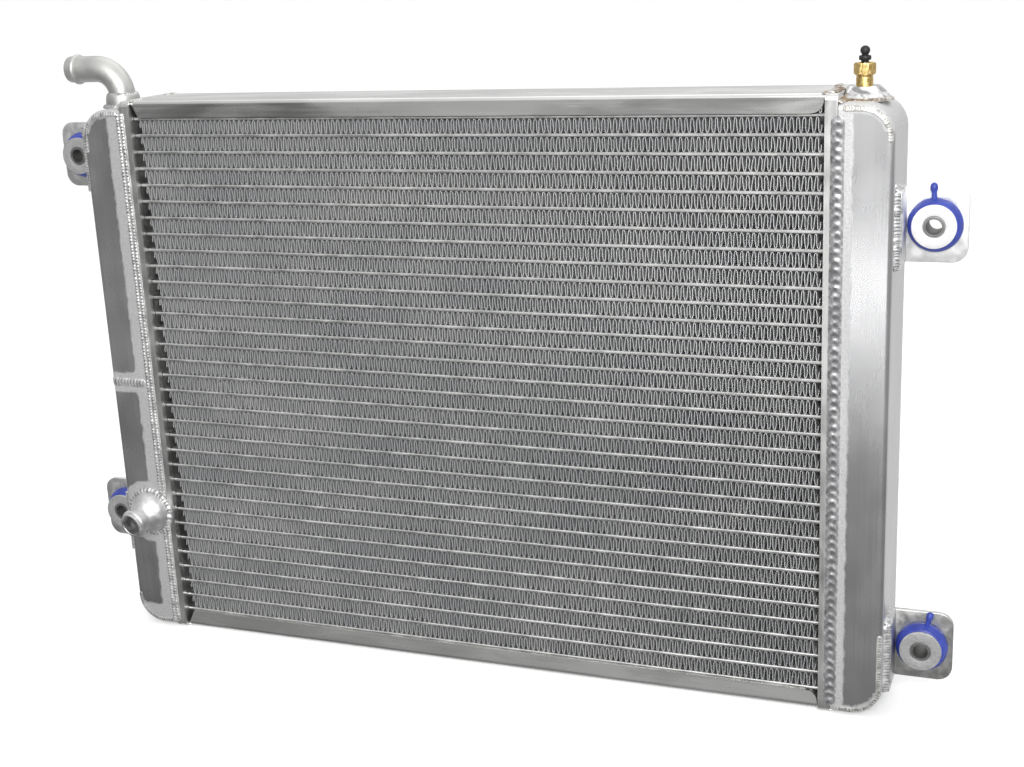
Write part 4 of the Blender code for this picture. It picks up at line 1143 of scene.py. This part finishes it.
def bush_mesh(angle):
    profile = eased([
        (5.6 * MM, 8.4 * MM), (11.6 * MM, 8.4 * MM), (12.4 * MM, 7.6 * MM), (BUSH_RIM, 4.2 * MM),
        (BUSH_RIM, GROOVE), (BUSH_NECK, GROOVE), (BUSH_NECK, -GROOVE), (BUSH_RIM, -GROOVE),
        (BUSH_RIM, -4.0 * MM), (11.6 * MM, -7.4 * MM), (5.6 * MM, -7.4 * MM),
    ], 0.7 * MM)
    mesh = turned(profile, 72)
    mesh.transform(Matrix.Rotation(math.radians(90.0), 4, "X"))
    item = placed("bush", mesh)
    sizes = [(1.6, -2.6), (1.45, -0.5), (1.35, 1.0), (1.3, 2.6), (1.45, 3.4), (1.8, 3.9), (2.0, 4.7),
             (2.0, 5.6), (1.8, 6.5), (1.3, 7.3), (0.6, 7.8)]
    tail = skin([circle(r * MM, BUSH_RIM + z * MM, 24) for r, z in sizes])
    tail.transform(Matrix.Translation((0.0, -GROOVE - 2.3 * MM, 0.0))
                   @ Matrix.Rotation(math.radians(90.0 - angle), 4, "Y"))
    carve(item, "UNION", tail)
    return taken(item)


def sleeve_finish(name, centre, dark, light):
    """Zinc-plated steel with the fine rings that turning leaves on its disc, and painted shade in its bore
    and groove.
    """
    finish = Finish(name, (0.55, 0.55, 0.56), 0.34, 0.75)
    x, z = finish.axis("X") - centre.x, finish.axis("Z") - centre.z
    radius = finish.sum("SQRT", x * x + z * z)
    rings = finish.sum("SINE", radius * (2.0 * math.pi / TURNING_PITCH))
    spots = finish.grain((0.0009, 0.0009, 0.0009), 4.0)
    zinc = finish.tones(spots, [(0.3, dark), (0.7, light)])
    painted_shade_tone = finish.tones(spots, [(0.3, 0.05), (0.7, (0.12, 0.12, 0.11))])
    # The bore's wall and the groove at its lip are painted dark: painted shade.
    in_bore = finish.between(radius, BORE_LIP, BORE_LIP + 0.15 * MM, 1.0, 0.0)
    in_groove = finish.between(radius, BORE_LIP + 0.7 * MM, BORE_LIP + 0.9 * MM, 1.0, 0.0)
    finish.colour(finish.mix(in_bore * 0.6, finish.mix(in_groove * 0.55, zinc, painted_shade_tone), painted_shade_tone))
    finish.roughness(finish.between(spots, 0.3, 0.7, 0.42, 0.55))
    finish.relief(rings, 0.00002, 0.4)
    finish.relief(spots, 0.00001, 0.1)
    return finish.material


for name, (side, height) in middles.items():
    hole = Vector((side * (TANK_OUT + HOLE_FROM_WALL), 0.0, height))
    bush = bush_mesh(TAIL_ANGLES[name])
    bush.transform(Matrix.Translation(hole))
    bush.materials.clear()
    bush.materials.append(bush_finish.material)
    fit(f"bush_{name}_blue", bush, [f"bush_{name}"])
    sleeve = turned(eased([
        (4.0 * MM, 10.7 * MM), (5.05 * MM, 10.7 * MM), (5.05 * MM, 9.9 * MM), (5.6 * MM, 9.9 * MM),
        (5.7 * MM, 10.3 * MM), (11.35 * MM, 10.3 * MM), (11.35 * MM, 8.7 * MM), (5.25 * MM, 8.7 * MM),
        (5.25 * MM, -7.8 * MM), (4.0 * MM, -7.8 * MM),
    ], 0.2 * MM), 72)
    sleeve.transform(Matrix.Translation(hole) @ Matrix.Rotation(math.radians(90.0), 4, "X"))
    # A lighter copy of the zinc for the upper right sleeve: painted light.
    dark, light = (0.74, 0.82) if name == "upper_right" else (0.40, 0.55)
    sleeve.materials.append(sleeve_finish(f"sleeve_zinc_{name}", hole, dark, light))
    fit(f"sleeve_{name}_zinc", sleeve, [f"sleeve_{name}"])


# Studio ---------------------------------------------------------------------------------
# A round white bowl, dim softboxes and a black flag that only the polished faces pick up. Most
# of the light is the room's, which is graded by direction.

FLOOR = -0.5 * MM
BOWL_STEPS = 72


def studio_finish(name, colour):
    finish = Finish(name, colour, 0.8, 0.0)
    haze = finish.grain((0.8, 0.8, 0.8), 2.0)
    finish.colour(finish.tones(haze, [(0.2, colour), (0.8, tuple(c * 1.02 for c in colour))]))
    return finish.material


sweep = [(0.8, FLOOR), (2.0, FLOOR)]
sweep += arc((3.2, FLOOR + 1.2), 1.2, -90.0, 0.0, 10) + [(4.4, 2.4)]
points, faces = [(0.0, 0.0, FLOOR)], []
for i in range(BOWL_STEPS):
    angle = 2.0 * math.pi * i / BOWL_STEPS
    points += [(r * math.cos(angle), r * math.sin(angle), z) for r, z in sweep]
    here, there = 1 + i * len(sweep), 1 + (i + 1) % BOWL_STEPS * len(sweep)
    faces.append((0, here, there))
    faces += [(here + k, here + k + 1, there + k + 1, there + k) for k in range(len(sweep) - 1)]
floor_mesh = bpy.data.meshes.new("floor")
floor_mesh.from_pydata(points, [], faces)
floor_mesh.materials.append(studio_finish("studio_white", (0.95, 0.95, 0.95)))
floor_mesh.shade_smooth()
floor = placed("floor", floor_mesh)
floor.visible_glossy = False


def softbox(name, place, aim, width, height, power, spread=180.0):
    light = bpy.data.lights.new(name, "AREA")
    light.shape = "RECTANGLE"
    light.size = width
    light.size_y = height
    light.energy = power
    light.spread = math.radians(spread)
    item = placed(name, light)
    item.visible_camera = False
    item.location = place
    item.rotation_euler = (Vector(aim) - Vector(place)).to_track_quat("-Z", "Y").to_euler()


softbox("overhead", (0.0, 0.40, 1.5), (0.0, 0.25, 0.0), 2.2, 1.1, 2.0)
softbox("backdrop", (0.0, 2.0, 2.4), (0.0, 2.4, 0.0), 4.0, 2.0, 14.0)
softbox("front", (0.55, -1.5, 0.95), (0.0, 0.0, 0.15), 0.9, 0.7, 5.0, 70.0)
softbox("low_strip", (0.10, -0.72, 0.085), (0.23, 0.0, 0.24), 0.5, 0.05, 0.3)
softbox("left_strip", (-0.80, -1.85, 0.25), (0.0, 0.0, 0.3), 0.25, 1.0, 0.3)

flag_mesh = bpy.data.meshes.new("flag")
flag_corners = [(-0.72, -0.84, 0.18), (-0.50, -0.955, 0.18), (-0.50, -0.955, 0.31), (-0.72, -0.84, 0.31)]
flag_mesh.from_pydata(flag_corners, [], [(0, 1, 2, 3)])
flag_mesh.materials.append(studio_finish("flag_black", (0.02, 0.02, 0.02)))
flag = placed("flag", flag_mesh)
flag.visible_camera = flag.visible_diffuse = flag.visible_shadow = False

world = bpy.data.worlds.new("studio")
bpy.context.scene.world = world
world.use_nodes = True
room = world.node_tree.nodes["Background"]


def room_ramp(source, stops):
    """Brightness of the room against one part of the direction, which runs from -1 to 1."""
    nodes, links = world.node_tree.nodes, world.node_tree.links
    scaled = nodes.new("ShaderNodeMapRange")
    scaled.inputs["From Min"].default_value = -1.0
    links.new(source, scaled.inputs["Value"])
    ramp = nodes.new("ShaderNodeValToRGB")
    ramp.color_ramp.interpolation = "EASE"
    while len(ramp.color_ramp.elements) < len(stops):
        ramp.color_ramp.elements.new(0.5)
    for element, (place, level) in zip(ramp.color_ramp.elements, stops):
        element.position = 0.5 + 0.5 * place
        element.color = (level, level, level, 1.0)
    links.new(scaled.outputs["Result"], ramp.inputs["Fac"])
    return ramp.outputs["Color"]


room_nodes, room_links = world.node_tree.nodes, world.node_tree.links
heading = room_nodes.new("ShaderNodeSeparateXYZ")
room_links.new(room_nodes.new("ShaderNodeTexCoord").outputs["Generated"], heading.inputs[0])
height = room_ramp(heading.outputs["Z"], [
    (-1.0, 0.3), (-0.45, 0.18), (-0.3, 0.22), (-0.19, 0.4), (-0.14, 0.36), (-0.09, 0.2), (-0.02, 0.32),
    (0.2, 0.75), (0.6, 1.0),
])
side = room_ramp(heading.outputs["X"], [(-0.7, 0.66), (-0.1, 1.1), (0.5, 1.0)])
behind = room_ramp(heading.outputs["Y"], [(-0.1, 0.0), (0.4, 0.66)])
level = side
for part, operation in ((height, "MULTIPLY"), (behind, "MAXIMUM")):
    joined = room_nodes.new("ShaderNodeVectorMath")
    joined.operation = operation
    room_links.new(level, joined.inputs[0])
    room_links.new(part, joined.inputs[1])
    level = joined.outputs["Vector"]
room_links.new(level, room.inputs["Color"])
room.inputs["Strength"].default_value = 1.0
world.cycles.sampling_method = "NONE"
bpy.context.scene.view_settings.view_transform = "Standard"

camera = bpy.data.cameras.new("camera")
camera.lens = 52.69
camera.sensor_width = 36.0
camera.clip_end = 50.0
turn, rise, roll = math.radians(21.59), math.radians(15.87), math.radians(-2.67)
back = Vector((math.sin(turn) * math.cos(rise), -math.cos(turn) * math.cos(rise), math.sin(rise)))
level = Vector((math.cos(turn), math.sin(turn), 0.0))
upward = back.cross(level)
right = math.cos(roll) * level + math.sin(roll) * upward
upward = math.cos(roll) * upward - math.sin(roll) * level
view = placed("camera", camera)
view.matrix_world = (Matrix.Translation((0.33446, -0.79243, 0.4146))
                     @ Matrix((right, upward, back)).transposed().to_4x4())
bpy.context.scene.camera = view
